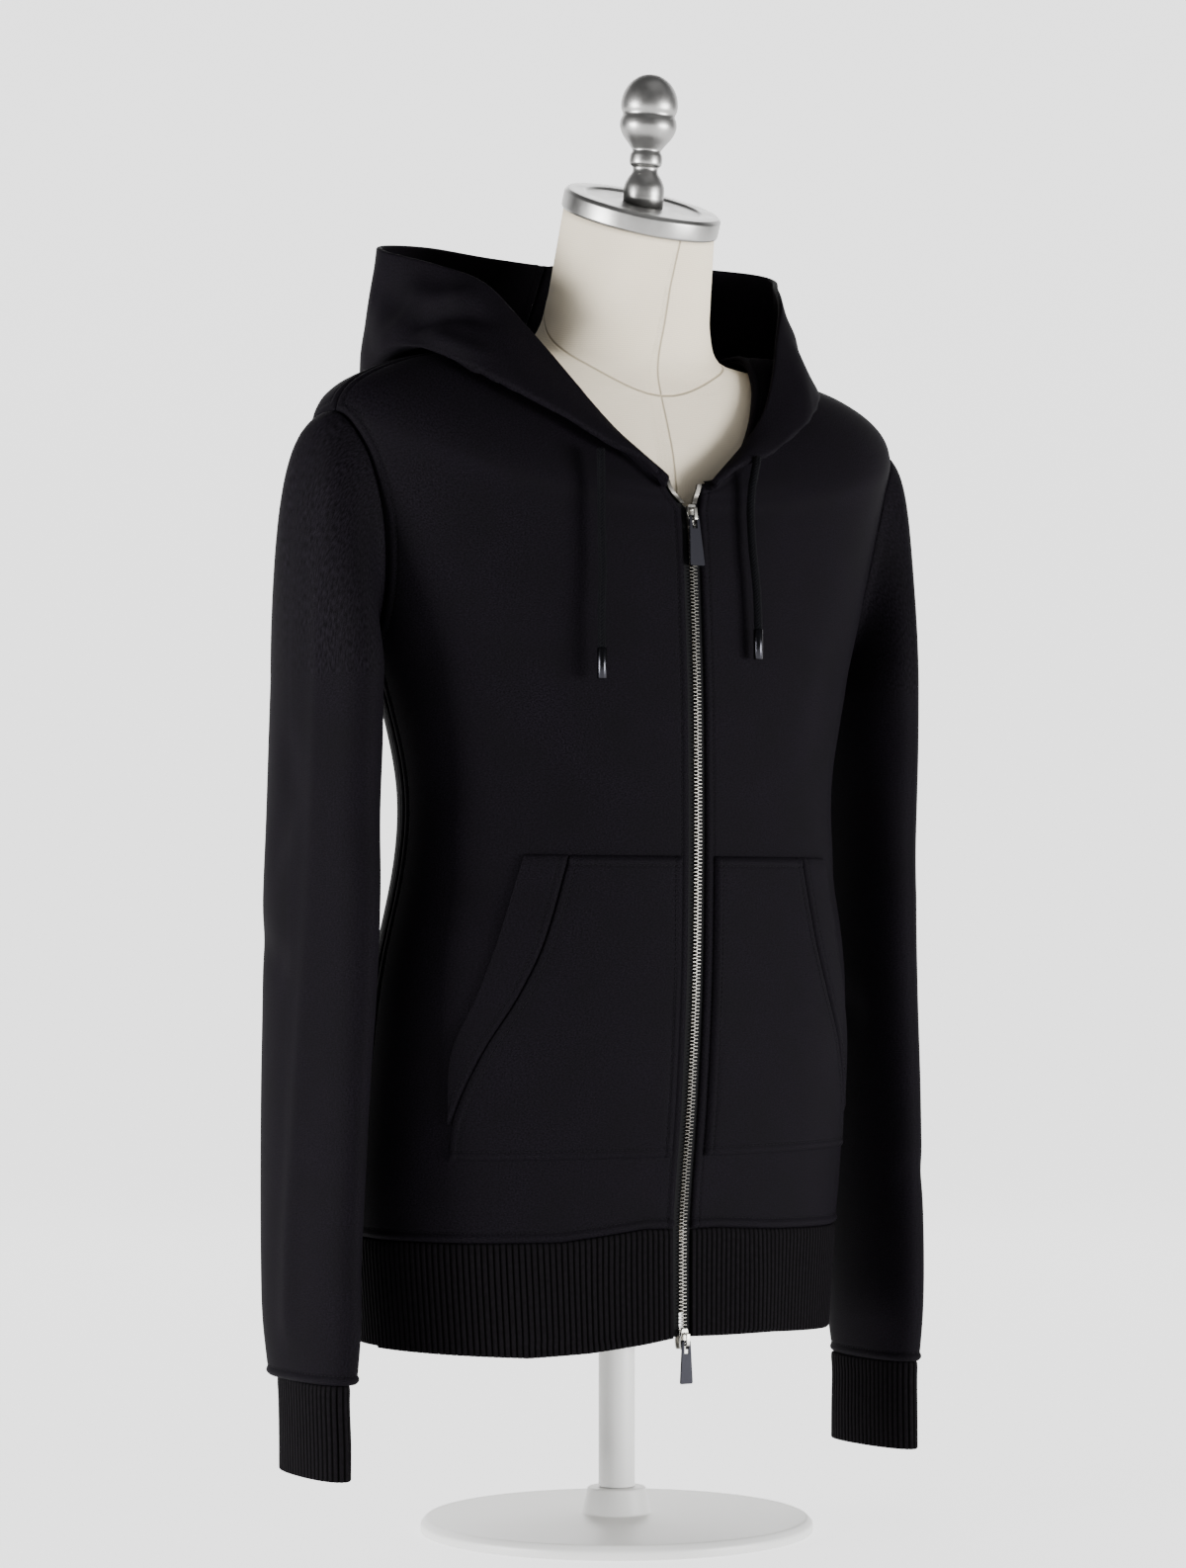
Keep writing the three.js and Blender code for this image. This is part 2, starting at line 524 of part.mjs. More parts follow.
for (const { word, level, drop, end } of SLIDERS) {
  const low = torso(0, Math.max(level - 10, 0));
  const high = torso(0, level + 10);
  const place = torso(0, level);
  const holder = new THREE.Group();
  holder.position.set(0, place.y, place.z - drop);
  holder.rotation.x = -Math.atan2(high.y - low.y, high.z - low.z);
  const slider = toMesh(`zip_slider_${word}`, sliderGeometry(), nickel());
  slider.rotation.y = end > 0 ? 0 : Math.PI;
  const tab = toMesh(`pull_tab_${word}`, tabGeometry(TABS[word]), darkTab());
  tab.position.set(0, -AXIS_OUT, -AXIS_DROP);
  holder.add(slider, tab);
  group.add(holder);
}

// Drawcords, each out from under the hood's fold and down the chest, with a metal tip
const CORD_RADIUS = 2.9;
const TIP = { radius: 3.2, length: 20 };
const CORDS = {
  right: [
    [-71.5, -91, 600], [-73.5, -94.5, 590], [-74.5, -96, 581], [-75, -97, 570], [-75.5, -98, 553],
    [-76, -99, 536], [-76, -100, 520], [-76.5, -101, 504], [-77.5, -101.5, 488], [-78, -102, 472],
    [-78, -102.5, 458],
  ],
  left: [
    [51, -95.5, 591], [49.5, -97, 587], [47.5, -97.5, 580], [45.5, -97.5, 570], [44, -98, 557],
    [43.5, -99.5, 543], [43.5, -101, 529], [44.5, -102, 515], [45.5, -103, 501], [46, -103.5, 487],
    [46, -104, 475],
  ],
};
function cordTube(points, radius, steps) {
  const section = new THREE.Shape(range(7, 0, (2 * Math.PI * 7) / 8).map(
    (turn) => new THREE.Vector2(radius * Math.cos(turn), radius * Math.sin(turn)),
  ));
  const path = new THREE.CatmullRomCurve3(points, false, 'centripetal');
  return new THREE.ExtrudeGeometry(section, { steps, extrudePath: path });
}
for (const { word } of sides) {
  const route = CORDS[word].map(([x, y, level]) => new THREE.Vector3(x, y, level + HEM_HEIGHT));
  group.add(toMesh(`cord_${word}`, cordTube(route, CORD_RADIUS, 12), braid()));
  const { x, y, z } = route.at(-1);
  const tip = new THREE.CylinderGeometry(TIP.radius, TIP.radius, TIP.length, 16).rotateX(Math.PI / 2);
  const aglet = toMesh(`cord_tip_${word}`, tip, gunmetal());
  aglet.position.set(x, y, z - TIP.length / 2 - 0.4);
  group.add(aglet);
}

// Form: a closed solid of rounded rings, flat underneath and with a sloping top to the neck
function closedLoft(rings) {
  const cols = rings[0].length;
  const middle = (points) => points.reduce((sum, p) => sum.add(p), new THREE.Vector3()).divideScalar(cols);
  const points = [...rings.flat(), middle(rings[0]), middle(rings.at(-1))];
  const faces = [];
  rings.slice(1).forEach((_, i) => range(cols - 1, 0, cols - 1).forEach((j) => {
    const [a, b] = [i * cols + j, i * cols + ((j + 1) % cols)];
    faces.push([a, b, b + cols], [a, b + cols, a + cols]);
  }));
  const last = (rings.length - 1) * cols;
  range(cols - 1, 0, cols - 1).forEach((j) => {
    const next = (j + 1) % cols;
    faces.push([points.length - 2, next, j], [points.length - 1, last + j, last + next]);
  });
  return facedGeometry(points, faces);
}
const FORM_STEPS = 28;
const formTurns = range(FORM_STEPS, 0, 2 * Math.PI).slice(0, FORM_STEPS);
function formRing({ z, side, front, back, rise }) {
  return formTurns.map((turn) => {
    const across = Math.sin(turn);
    const y = (back - front) / 2 - ((back + front) / 2) * rounded(Math.cos(turn));
    return new THREE.Vector3(side * rounded(across), y, z + rise * across * across + HEM_HEIGHT);
  });
}
const slope = NECK_TOP.tilt * DEGREE;
const neckRing = formTurns.map((turn) => {
  const back = -NECK_TOP.deep * Math.cos(turn);
  const y = NECK_TOP.y + back * Math.cos(slope);
  const z = NECK_TOP.z + back * Math.sin(slope);
  return new THREE.Vector3(NECK_TOP.side * Math.sin(turn), y, z + HEM_HEIGHT);
});
group.add(toMesh('form_torso', closedLoft([...FORM.map(formRing), neckRing]), linen()));

// Neck cap: a shallow cast disc with a raised rim, lying on the sloping neck
function turned(profile, segments) {
  const points = profile.map(([radius, height]) => new THREE.Vector2(radius, height));
  return new THREE.LatheGeometry(points, segments).rotateX(Math.PI / 2);
}
const capFloor = CAP.height - CAP.recessDepth;
const cap = turned([
  [0, 0], [CAP.side - 1, 0], [CAP.side, 1.5], [CAP.side, CAP.height - 2], [CAP.side - 2, CAP.height],
  [CAP.recess + 1.5, CAP.height], [CAP.recess, capFloor], [0, capFloor],
], 36);
cap.scale(1, CAP.deep / CAP.side, 1);
const capHolder = new THREE.Group();
capHolder.position.set(0, NECK_TOP.y, NECK_TOP.z + HEM_HEIGHT);
capHolder.rotation.x = slope;
const capMesh = toMesh('form_neck_cap', cap, castMetal());
capMesh.position.z = STAND_GAP;
capHolder.add(capMesh);
group.add(capHolder);

// Knob: a turned baluster standing on the cap's recessed floor
const knob = turned([
  [0, -KNOB.sink], [13.5, -KNOB.sink], [13.8, 4], [14, 8], [13.6, 12], [11.4, 17], [8.8, 21], [8.7, 24],
  [10.8, 26], [10.8, 33], [9.6, 35], [11.5, 38], [17, 45], [19.4, 51], [19, 56], [17.8, 59],
  [19.2, 63], [19.4, 68], [17.5, 75], [13.5, 81], [7, 85.5], [0, KNOB.height],
], 24);
const acrossAxis = new THREE.Vector3(1, 0, 0);
const knobFloor = new THREE.Vector3(0, 0, capFloor + 2 * STAND_GAP).applyAxisAngle(acrossAxis, slope);
const knobHolder = new THREE.Group();
knobHolder.position.set(0, NECK_TOP.y + knobFloor.y, NECK_TOP.z + HEM_HEIGHT + knobFloor.z);
knobHolder.rotation.x = KNOB.tilt * DEGREE;
const under = block(120, 120, 60, 0, 0, -30).rotateX(slope - KNOB.tilt * DEGREE);
knobHolder.add(toMesh('form_knob', fromSolid(toSolid(knob).subtract(toSolid(under))), castMetal()));
group.add(knobHolder);

// Stand: a pole into the form's flat underside, on a round base
const poleBottom = BASE.collarTop + STAND_GAP;
const poleTop = HEM_HEIGHT + FORM[0].z - STAND_GAP;
const pole = new THREE.CylinderGeometry(POLE.radius, POLE.radius, poleTop - poleBottom, 24);
pole.rotateX(Math.PI / 2);
const poleMesh = toMesh('stand_pole', pole, paint());
poleMesh.position.z = (poleTop + poleBottom) / 2;
group.add(poleMesh);
const base = turned([
  [0, 0], [BASE.radius, 0], [BASE.radius, BASE.thick - 4], [BASE.radius - 4, BASE.thick],
  [BASE.collar, BASE.thick + 2], [BASE.collar - 4, BASE.collarTop], [0, BASE.collarTop],
], 48);
group.add(toMesh('stand_base', base, paint()));

export default group;
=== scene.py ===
import math

import bpy
import numpy as np
from mathutils import Matrix


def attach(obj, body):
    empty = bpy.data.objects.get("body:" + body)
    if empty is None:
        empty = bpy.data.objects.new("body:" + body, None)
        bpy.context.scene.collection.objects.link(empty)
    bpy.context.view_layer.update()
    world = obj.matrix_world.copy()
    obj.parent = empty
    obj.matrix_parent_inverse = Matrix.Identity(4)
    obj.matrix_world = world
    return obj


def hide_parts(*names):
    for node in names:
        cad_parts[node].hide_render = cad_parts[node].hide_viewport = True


# A hooded full-zip sweater in black double jersey, on a limbless linen form with a short stand.
# Metres, +Z up. The zip faces -Y and the wearer's left is +X.
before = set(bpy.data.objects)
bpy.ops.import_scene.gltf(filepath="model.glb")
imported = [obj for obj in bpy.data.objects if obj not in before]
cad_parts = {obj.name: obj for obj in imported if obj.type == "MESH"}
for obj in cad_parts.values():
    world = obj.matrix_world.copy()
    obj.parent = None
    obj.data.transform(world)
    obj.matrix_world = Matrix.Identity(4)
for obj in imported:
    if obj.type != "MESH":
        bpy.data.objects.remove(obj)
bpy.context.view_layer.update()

# ---------------------------------------------------------------------------------------------
# Studio: a lit white acrylic sheet curved up behind the object, a camera a little below the
# garment's middle, and soft lamps: overhead, beside the right arm, in front and behind.
# ---------------------------------------------------------------------------------------------
HEM_HEIGHT = 0.140            # bottom edge of the hem band above the floor
VIEW_TURN = math.radians(-33)
VIEW_DISTANCE = 2.7
VIEW_HEIGHT = HEM_HEIGHT + 0.2765
LONG_SIDE_MM = 36.0
FOCAL_MM = 90.1


def linear(hex_colour):
    """An sRGB hex colour as the linear colour that a shader takes."""
    parts = [int(hex_colour[i:i + 2], 16) / 255 for i in (1, 3, 5)]
    return (*(c / 12.92 if c <= 0.04045 else ((c + 0.055) / 1.055) ** 2.4 for c in parts), 1.0)


def add_node(tree, kind, inputs, **settings):
    """Adds a shader node with its settings, and with its inputs set or linked."""
    made = tree.nodes.new("ShaderNode" + kind)
    for key, value in settings.items():
        setattr(made, key, value)
    for socket, value in inputs.items():
        if isinstance(value, bpy.types.NodeSocket):
            tree.links.new(value, made.inputs[socket])
        else:
            made.inputs[socket].default_value = value
    return made


def solid_place(tree):
    """Each point's place in its own object."""
    return add_node(tree, "TexCoord", {}).outputs["Object"]


def noise(tree, place, scale, detail=2.0, **inputs):
    """A cloudy value over a place."""
    inputs = {"Vector": place, "Scale": scale, "Detail": detail, **inputs}
    return add_node(tree, "TexNoise", inputs).outputs["Fac"]


def blend(tree, factor, *colours):
    """A colour between two, each an sRGB hex colour or another node's output."""
    low, high = (linear(c) if isinstance(c, str) else c for c in colours)
    inputs = {"Factor": factor, "A": low, "B": high}
    return add_node(tree, "Mix", inputs, data_type="RGBA").outputs["Result"]


def new_material(name, paint):
    """A node material: paint adds its nodes and gives the inputs of its surface."""
    material = bpy.data.materials.new(name)
    material.use_nodes = True
    tree = material.node_tree
    tree.nodes.clear()
    surface = add_node(tree, "BsdfPrincipled", paint(tree))
    add_node(tree, "OutputMaterial", {"Surface": surface.outputs["BSDF"]})
    return material


camera = bpy.data.cameras.new("studio_camera")
camera.sensor_fit = "AUTO"
camera.sensor_width = LONG_SIDE_MM
camera.lens = FOCAL_MM
camera.shift_x, camera.shift_y = -0.0151, 0.0895
camera_object = bpy.data.objects.new("studio_camera", camera)
camera_object.location = (VIEW_DISTANCE * math.sin(VIEW_TURN),
                          -VIEW_DISTANCE * math.cos(VIEW_TURN), VIEW_HEIGHT)
camera_object.rotation_euler = (math.pi / 2, 0, VIEW_TURN)
bpy.context.collection.objects.link(camera_object)
bpy.context.scene.camera = camera_object

# Soft lamps: where each stands, what it points at, its width and height, and its power
LAMPS = {
    "overhead": dict(at=(0.2, -0.9, 2.6), to=(0, 0, 0.6), size=(1.8, 1.4), watts=3),
    "left_box": dict(at=(-2.7, 0.30, 0.45), to=(0, 0, 0.35), size=(0.9, 1.1), watts=150),
    "front_box": dict(at=(1.5, -2.4, 0.32), to=(0, 0, 0.40), size=(1.3, 0.9), watts=150),
    "back_box": dict(at=(1.4, 2.2, 1.6), to=(0, 0, 0.6), size=(1.6, 1.6), watts=30),
}
for name, lamp in LAMPS.items():
    light = bpy.data.lights.new(name, "AREA")
    light.shape = "RECTANGLE"
    light.size, light.size_y = lamp["size"]
    light.energy = lamp["watts"]
    away_x, away_y, away_z = np.subtract(lamp["to"], lamp["at"])
    lamp_object = bpy.data.objects.new(name, light)
    lamp_object.location = lamp["at"]
    lamp_object.rotation_euler = (math.atan2(math.hypot(away_x, away_y), -away_z), 0,
                                  math.atan2(away_y, away_x) - math.pi / 2)
    bpy.context.collection.objects.link(lamp_object)

world = bpy.data.worlds.new("studio_air")
world.use_nodes = True
air = world.node_tree.nodes["Background"].inputs
air["Color"].default_value = linear("#e9e9ea")
air["Strength"].default_value = 0.22
bpy.context.scene.world = world


def grid_faces(rows, cols, closed=False):
    """Quads over a grid of points, row by row. A closed grid's rows join their own start."""
    i, j = np.meshgrid(np.arange(rows - 1), np.arange(cols if closed else cols - 1), indexing="ij")
    k = (j + 1) % cols
    corners = [i * cols + j, i * cols + k, (i + 1) * cols + k, (i + 1) * cols + j]
    return np.stack(corners, -1).reshape(-1, 4)


def give_layer(mesh, name, places):
    """A named layer of flat places, one for each point of a mesh."""
    layer = mesh.uv_layers.new(name=name)
    corner = np.empty(len(mesh.loops), int)
    mesh.loops.foreach_get("vertex_index", corner)
    layer.data.foreach_set("uv", np.asarray(places, float).reshape(-1, 2)[corner].ravel())


def make_mesh(name, points, faces, material, smooth=True, cut=None):
    """A mesh object from points and faces. cut gives each point its place on the flat cloth."""
    mesh = bpy.data.meshes.new(name)
    points = np.asarray(points, float).reshape(-1, 3).tolist()
    mesh.from_pydata(points, [], [list(face) for face in faces])
    mesh.update()
    if cut is not None:
        give_layer(mesh, "cut", cut)
    mesh.shade_smooth() if smooth else mesh.shade_flat()
    mesh.materials.append(material)
    made = bpy.data.objects.new(name, mesh)
    bpy.context.collection.objects.link(made)
    return made


def lit_acrylic(tree):
    """White acrylic sheet lit from behind: almost even, with the faintest cloudiness."""
    cloud = noise(tree, solid_place(tree), 3.0)
    return {"Base Color": blend(tree, cloud, "#8c8c8c", "#8e8e8e"), "Roughness": 0.9,
            "Specular IOR Level": 0.1, "Emission Color": linear("#ffffff"),
            "Emission Strength": 2.15}


SWEEP = dict(half_width=6.0, front=-4.0, back=3.2, radius=2.0, top=6.0, steps=24)
bend = [(SWEEP["back"] + SWEEP["radius"] * math.sin(t), SWEEP["radius"] * (1 - math.cos(t)))
        for t in np.linspace(0, math.pi / 2, SWEEP["steps"])]
profile = [(SWEEP["front"], 0), (0, 0), *bend, (SWEEP["back"] + SWEEP["radius"], SWEEP["top"])]
cos_view, sin_view = math.cos(VIEW_TURN), math.sin(VIEW_TURN)
sweep_points = [(x * cos_view - y * sin_view, x * sin_view + y * cos_view, z)
                for y, z in profile for x in (-SWEEP["half_width"], SWEEP["half_width"])]
sweep = make_mesh("paper_sweep", sweep_points, grid_faces(len(profile), 2),
                  new_material("backlit_acrylic_sheet", lit_acrylic))

# ---------------------------------------------------------------------------------------------
# Drawcords: round braids of black polyester, eight ends each way, two over and two under. Each
# comes out under the hood's roll, hangs free down the chest and ends in a crimped metal tip.
# ---------------------------------------------------------------------------------------------
CORD_DIAMETER = 0.0058
CORD_ENDS = 8                 # strands that turn each way
BRAID_TURN = 0.019            # length of cord in which a strand goes once round
CORE_SIDES = 10
STRAND = dict(half_width=0.00072, half_thick=0.00048, ride=0.00022, sides=6, step=0.00055)
# Places down each cord in millimetres, with heights over the hem
CORD_ROUTES = {
    "right": [(-73.5, -94, 589), (-74.5, -96, 581), (-75, -97, 570), (-75.5, -98, 553),
              (-76, -99, 536), (-76, -100, 520), (-76.5, -101, 504), (-77.5, -101.5, 488),
              (-78, -102, 472), (-78, -102.5, 458)],
    "left": [(51, -95.5, 591), (49.5, -97, 587), (47.5, -97.5, 580), (45.5, -97.5, 570),
             (44, -98, 557), (43.5, -99.5, 543), (43.5, -101, 529), (44.5, -102, 515),
             (45.5, -103, 501), (46, -103.5, 487), (46, -104, 475)],
}
TIP = dict(radius=0.0032, length=0.020, gap=0.0004, wall=0.0004, hollow=0.0040, sides=32)


def run_length(points, axis=0):
    """Length from the start along a line of points, or along one axis of a grid of them."""
    step = np.linalg.norm(np.diff(points, axis=axis), axis=-1)
    return np.concatenate([0 * step.take([0], axis), np.cumsum(step, axis)], axis)


def points_at(line, run, at):
    """Points of a line at given lengths along it."""
    return np.stack([np.interp(at, run, line[:, k]) for k in range(3)], 1)


def smooth_path(points, spacing):
    """A smooth curve through given points, as even steps of about the given spacing."""
    stops = np.array(points, float)
    stops = np.concatenate([2 * stops[:1] - stops[1:2], stops, 2 * stops[-1:] - stops[-2:-1]])
    gaps = np.linalg.norm(np.diff(stops, axis=0), axis=1)
    knots = np.concatenate([[0], np.cumsum(np.sqrt(gaps))])
    drawn = []
    for i in range(1, len(stops) - 2):
        t = np.linspace(knots[i], knots[i + 1], 16, endpoint=False)[:, None]
        near = [((knots[j + 1] - t) * stops[j] + (t - knots[j]) * stops[j + 1])
                / (knots[j + 1] - knots[j]) for j in (i - 1, i, i + 1)]
        wide = [((knots[j + 2] - t) * a + (t - knots[j]) * b) / (knots[j + 2] - knots[j])
                for j, a, b in ((i - 1, near[0], near[1]), (i, near[1], near[2]))]
        drawn.append(((knots[i + 1] - t) * wide[0] + (t - knots[i]) * wide[1])
                     / (knots[i + 1] - knots[i]))
    drawn = np.concatenate([*drawn, stops[-2:-1]])
    run = run_length(drawn)
    return points_at(drawn, run, np.linspace(0, run[-1], max(2, round(run[-1] / spacing) + 1)))


def unit(vectors):
    """The same directions with length one."""
    return vectors / np.maximum(np.linalg.norm(vectors, axis=-1, keepdims=True), 1e-12)


def full_turn(sides):
    """Even turns once round."""
    return np.linspace(0, 2 * math.pi, sides, endpoint=False)


def rings_round(line, wide, tall, sides):
    """A ring of points round each point of a line; wide and tall are its half axes there."""
    turns = full_turn(sides)[:, None]
    return line[:, None] + np.cos(turns) * wide[:, None] + np.sin(turns) * tall[:, None]


def capped(rings):
    """Points and faces of closed rings of points with a flat cap on each end."""
    rows, cols = rings.shape[:2]
    caps = [list(range(cols))[::-1], list(range((rows - 1) * cols, rows * cols))]
    return rings.reshape(-1, 3), grid_faces(rows, cols, closed=True).tolist() + caps


def joined(parts):
    """One list of points and one of faces from several."""
    points, faces, start = [], [], 0
    for some_points, some_faces in parts:
        points.append(some_points)
        faces += [[v + start for v in face] for face in some_faces]
        start += len(some_points)
    return np.concatenate(points), faces


def braid(path):
    """A round braid along a path, each strand an oval yarn bundle over and under the others."""
    along = unit(np.gradient(path, axis=0))
    up = unit(np.cross([1.0, 0, 0], along))
    side = np.cross(along, up)
    run = run_length(path)
    middle = CORD_DIAMETER / 2 - STRAND["half_thick"] - STRAND["ride"]
    core = middle - STRAND["ride"]
    parts = [capped(rings_round(path, core * side, core * up, CORE_SIDES))]
    crossing = run / BRAID_TURN * 2 * CORD_ENDS
    for way in (1, -1):
        for end in range(CORD_ENDS):
            angle = 2 * math.pi * (end / CORD_ENDS + way * run / BRAID_TURN)
            lift = way * np.cos(math.pi / 2 * (2 * end + way * crossing - 0.5))
            out = np.cos(angle)[:, None] * side + np.sin(angle)[:, None] * up
            line = path + out * (middle + STRAND["ride"] * lift)[:, None]
            across = np.cross(unit(np.gradient(line, axis=0)), out)
            parts.append(capped(rings_round(line, STRAND["half_width"] * across,
                                            STRAND["half_thick"] * out, STRAND["sides"])))
    return joined(parts)


def bump(tree, height, distance, strength):
    """Fine relief from a value."""
    inputs = {"Height": height, "Distance": distance, "Strength": strength}
    return add_node(tree, "Bump", inputs).outputs["Normal"]


def ranged(tree, value, before=(0.0, 1.0), after=(0.0, 1.0), kind="LINEAR"):
    """A value moved from one range to another, and held within it."""
    ends = dict(zip(("From Min", "From Max", "To Min", "To Max"), (*before, *after)))
    inputs = {"Value": value, **ends}
    return add_node(tree, "MapRange", inputs, interpolation_type=kind).outputs["Result"]


def polyester_braid(tree):
    """Spun polyester yarn: black, with a soft gloss along the filaments."""
    fibre = noise(tree, solid_place(tree), 2600.0, 3.0)
    return {"Base Color": blend(tree, fibre, "#030304", "#101013"), "Roughness": 0.55,
            "Specular IOR Level": 0.03, "Normal": bump(tree, fibre, 0.00012, 0.6)}


def gunmetal(tree):
    """Brass tube under a dark polished plating, which mirrors the lamps as upright streaks."""
    wear = noise(tree, solid_place(tree), 900.0, 4.0)
    return {"Base Color": linear("#2e2e32"), "Metallic": 1.0,
            "Roughness": ranged(tree, wear, after=(0.14, 0.3))}


def turned_piece(name, profile_points, sides, material):
    """A turned solid from (radius, height) pairs that start and end on its axis."""
    turns = full_turn(sides)
    radius, height = np.array(profile_points, float).T[..., None]
    rings = np.stack([radius * np.cos(turns), radius * np.sin(turns), height + 0 * turns], -1)
    made = make_mesh(name, rings, grid_faces(len(radius), sides, closed=True), material)
    made.modifiers.new("axis_weld", "WELD").merge_threshold = 1e-6
    return made


braid_material = new_material("spun_polyester_braid", polyester_braid)
tip_material = new_material("gunmetal_plate", gunmetal)
for word, route in CORD_ROUTES.items():
    centre = smooth_path(np.array(route) / 1000 + [0, 0, HEM_HEIGHT], STRAND["step"])
    cord = make_mesh(f"drawcord_{word}", *braid(centre), braid_material)
    radius, length, wall = TIP["radius"], TIP["length"], TIP["wall"]
    crimp = [(0, 0), (radius - 0.0006, 0), (radius - 0.0002, 0.0001), (radius, 0.0004),
             (radius, length - 0.0003), (radius - wall / 2, length),
             (radius - wall, length - 0.0002), (radius - wall, length - TIP["hollow"]),
             (0, length - TIP["hollow"])]
    tip = turned_piece(f"cord_end_{word}", crimp, TIP["sides"], tip_material)
    tip.location = (*centre[-1][:2], centre[-1][2] - TIP["gap"] - length)
    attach(cord, "sweater_and_form")
    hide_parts(f"cord_{word}")
    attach(tip, "sweater_and_form")
    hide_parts(f"cord_tip_{word}")
    round(float(run_length(centre)[-1]), 3)

# ---------------------------------------------------------------------------------------------
# Fronts: two cut pieces of black double jersey, a thick smooth knit that holds its shape. Their
# edges are turned in 6 to 8 mm and topstitched, which leaves a soft roll along every seam.
# ---------------------------------------------------------------------------------------------
CLOTH = 0.0020
SEAM_GAP = 0.0004
ROUNDNESS = 0.91
RIB_TOP = 0.070
ZIP_EDGE = 0.007
FLARE_LEVEL = 0.590
NECK_LEVEL = 0.730
ARMPIT_LEVEL = 0.465
SHOULDER_LEVEL = 0.612
FLARE = {"right": 0.012, "left": 0.003}
SIDES = {"right": -1, "left": 1}
# Millimetres: half width, depth before and behind the middle, and height at side, front and back
TORSO = ("level side front back z_side z_front z_back", [
    (0, 178, 82, 131, 0, 0, 0), (70, 184, 82, 131, 70, 70, 70), (103, 186, 85, 129, 103, 103, 103),
    (160, 184, 92, 122, 160, 160, 160), (240, 179, 98, 109, 240, 240, 240),
    (320, 165, 100, 98, 320, 320, 320), (370, 163, 100, 98, 370, 370, 370),
    (430, 175, 99, 104, 430, 430, 430), (490, 194, 96, 110, 490, 490, 490),
    (540, 209, 93, 112, 543, 535, 540), (580, 220, 91, 110, 586, 551, 573),
    (612, 225, 90.5, 105, 614, 558, 598), (640, 212, 90, 98, 634, 562, 620),
    (670, 178, 90, 88, 650, 565, 641), (700, 130, 90, 79, 661, 568, 655),
    (730, 88, 90, 70, 670, 571, 663)])


def smooth_table(names, rows, units=1000):
    """A smooth curve through each column of a table, read at a value of the first column."""
    table = np.array(sorted(rows), float) / units
    keys, last = table[:, 0], len(table) - 1
    rows_at = np.arange(last + 1)
    before, after = np.maximum(rows_at - 1, 0), np.minimum(rows_at + 1, last)

    def curve(values):
        """One column's curve."""
        slopes = (values[after] - values[before]) / (keys[after] - keys[before])

        def read(at):
            """The column's value at a value of the first column."""
            at = np.asarray(at, float)
            i = np.clip(np.searchsorted(keys, at, side="left") - 1, 0, last - 1)
            step = keys[i + 1] - keys[i]
            t = (at - keys[i]) / step
            rise = t * t * (3 - 2 * t)
            lean = t * (1 - t) ** 2 * slopes[i] + t * t * (t - 1) * slopes[i + 1]
            return values[i] + (values[i + 1] - values[i]) * rise + lean * step
        return read
    return dict(zip(names.split()[1:], map(curve, table.T[1:])))


torso_at = smooth_table(*TORSO)


def rounded(value):
    """Squares an oval a little."""
    return np.sign(value) * np.abs(value) ** ROUNDNESS


def torso(angle, level):
    """Points of the garment's outside, at angles from the front towards the wearer's left."""
    across, along = np.sin(angle), np.cos(angle)
    front, back = torso_at["front"](level), torso_at["back"](level)
    end = np.where(along > 0, torso_at["z_front"](level), torso_at["z_back"](level))
    y = (back - front) / 2 - (back + front) / 2 * rounded(along)
    z = end + (torso_at["z_side"](level) - end) * across ** 2
    return np.stack([torso_at["side"](level) * rounded(across), y, z + HEM_HEIGHT], -1)


def torso_ways(angle, level, angle_step=0.01, level_step=0.003):
    """Directions round and up the garment's surface."""
    above, below = np.minimum(level + level_step, NECK_LEVEL), np.maximum(level - level_step, 0)
    return (unit(torso(angle + angle_step, level) - torso(angle - angle_step, level)),
            unit(torso(angle, above) - torso(angle, below)))


def torso_out(angle, level, out):
    """The garment's surface moved out along its own normal."""
    return torso(angle, level) + unit(np.cross(*torso_ways(angle, level))) * out


def angle_at(x, level):
    """The angle at which a level is x from the centre line."""
    return np.arcsin(np.minimum(x / torso_at["side"](level), 1) ** (1 / ROUNDNESS))


def zip_flare(flare, level):
    """How far a front is drawn aside at a level above the slider."""
    part = np.clip((level - FLARE_LEVEL) / (NECK_LEVEL - FLARE_LEVEL), 0, 1)
    return flare * part * (2 - part)


# The side seam's angle by level, and how far the armhole reaches from it, in degrees
SEAM_LINE = [(0, 96), (ARMPIT_LEVEL, 96), (SHOULDER_LEVEL, 84), (NECK_LEVEL, 92)]
ARMHOLE_MIDDLE = (ARMPIT_LEVEL + SHOULDER_LEVEL) / 2
ARMHOLE_HALF = (SHOULDER_LEVEL - ARMPIT_LEVEL) / 2
ARMHOLE_REACH = dict(front=19, back=30)


def side_seam(level):
    """The angle of the side seam, and of the shoulder seam above the armhole."""
    return np.radians(np.interp(level, *zip(*SEAM_LINE)))


def armhole(turn):
    """Level and angle of the armhole's edge; turn runs once round it from the top, front first."""
    level = ARMHOLE_MIDDLE + ARMHOLE_HALF * np.cos(turn)
    reach = np.radians(np.where(np.sin(turn) > 0, ARMHOLE_REACH["front"], ARMHOLE_REACH["back"]))
    return level, side_seam(level) - reach * np.sin(turn)


def armhole_angle(level, towards):
    """The angle of a panel's side edge: its armhole between armpit and shoulder, else its seam."""
    turn = towards * np.arccos(np.clip((level - ARMHOLE_MIDDLE) / ARMHOLE_HALF, -1, 1))
    inside = (level > ARMPIT_LEVEL) & (level < SHOULDER_LEVEL)
    return np.where(inside, armhole(turn)[1], side_seam(level))


# Millimetres from a cut edge at which a piece has a line of points: close over the seam roll
SEAM_STEPS = np.array([0, 0.15, 0.5, 1.0, 1.6, 2.4, 3.3, 4.2, 5.0, 5.7, 6.3, 6.8, 7.3, 7.9, 8.8,
                       10.2, 12.5, 16]) / 1000
MIDDLE_STEP = 0.0058


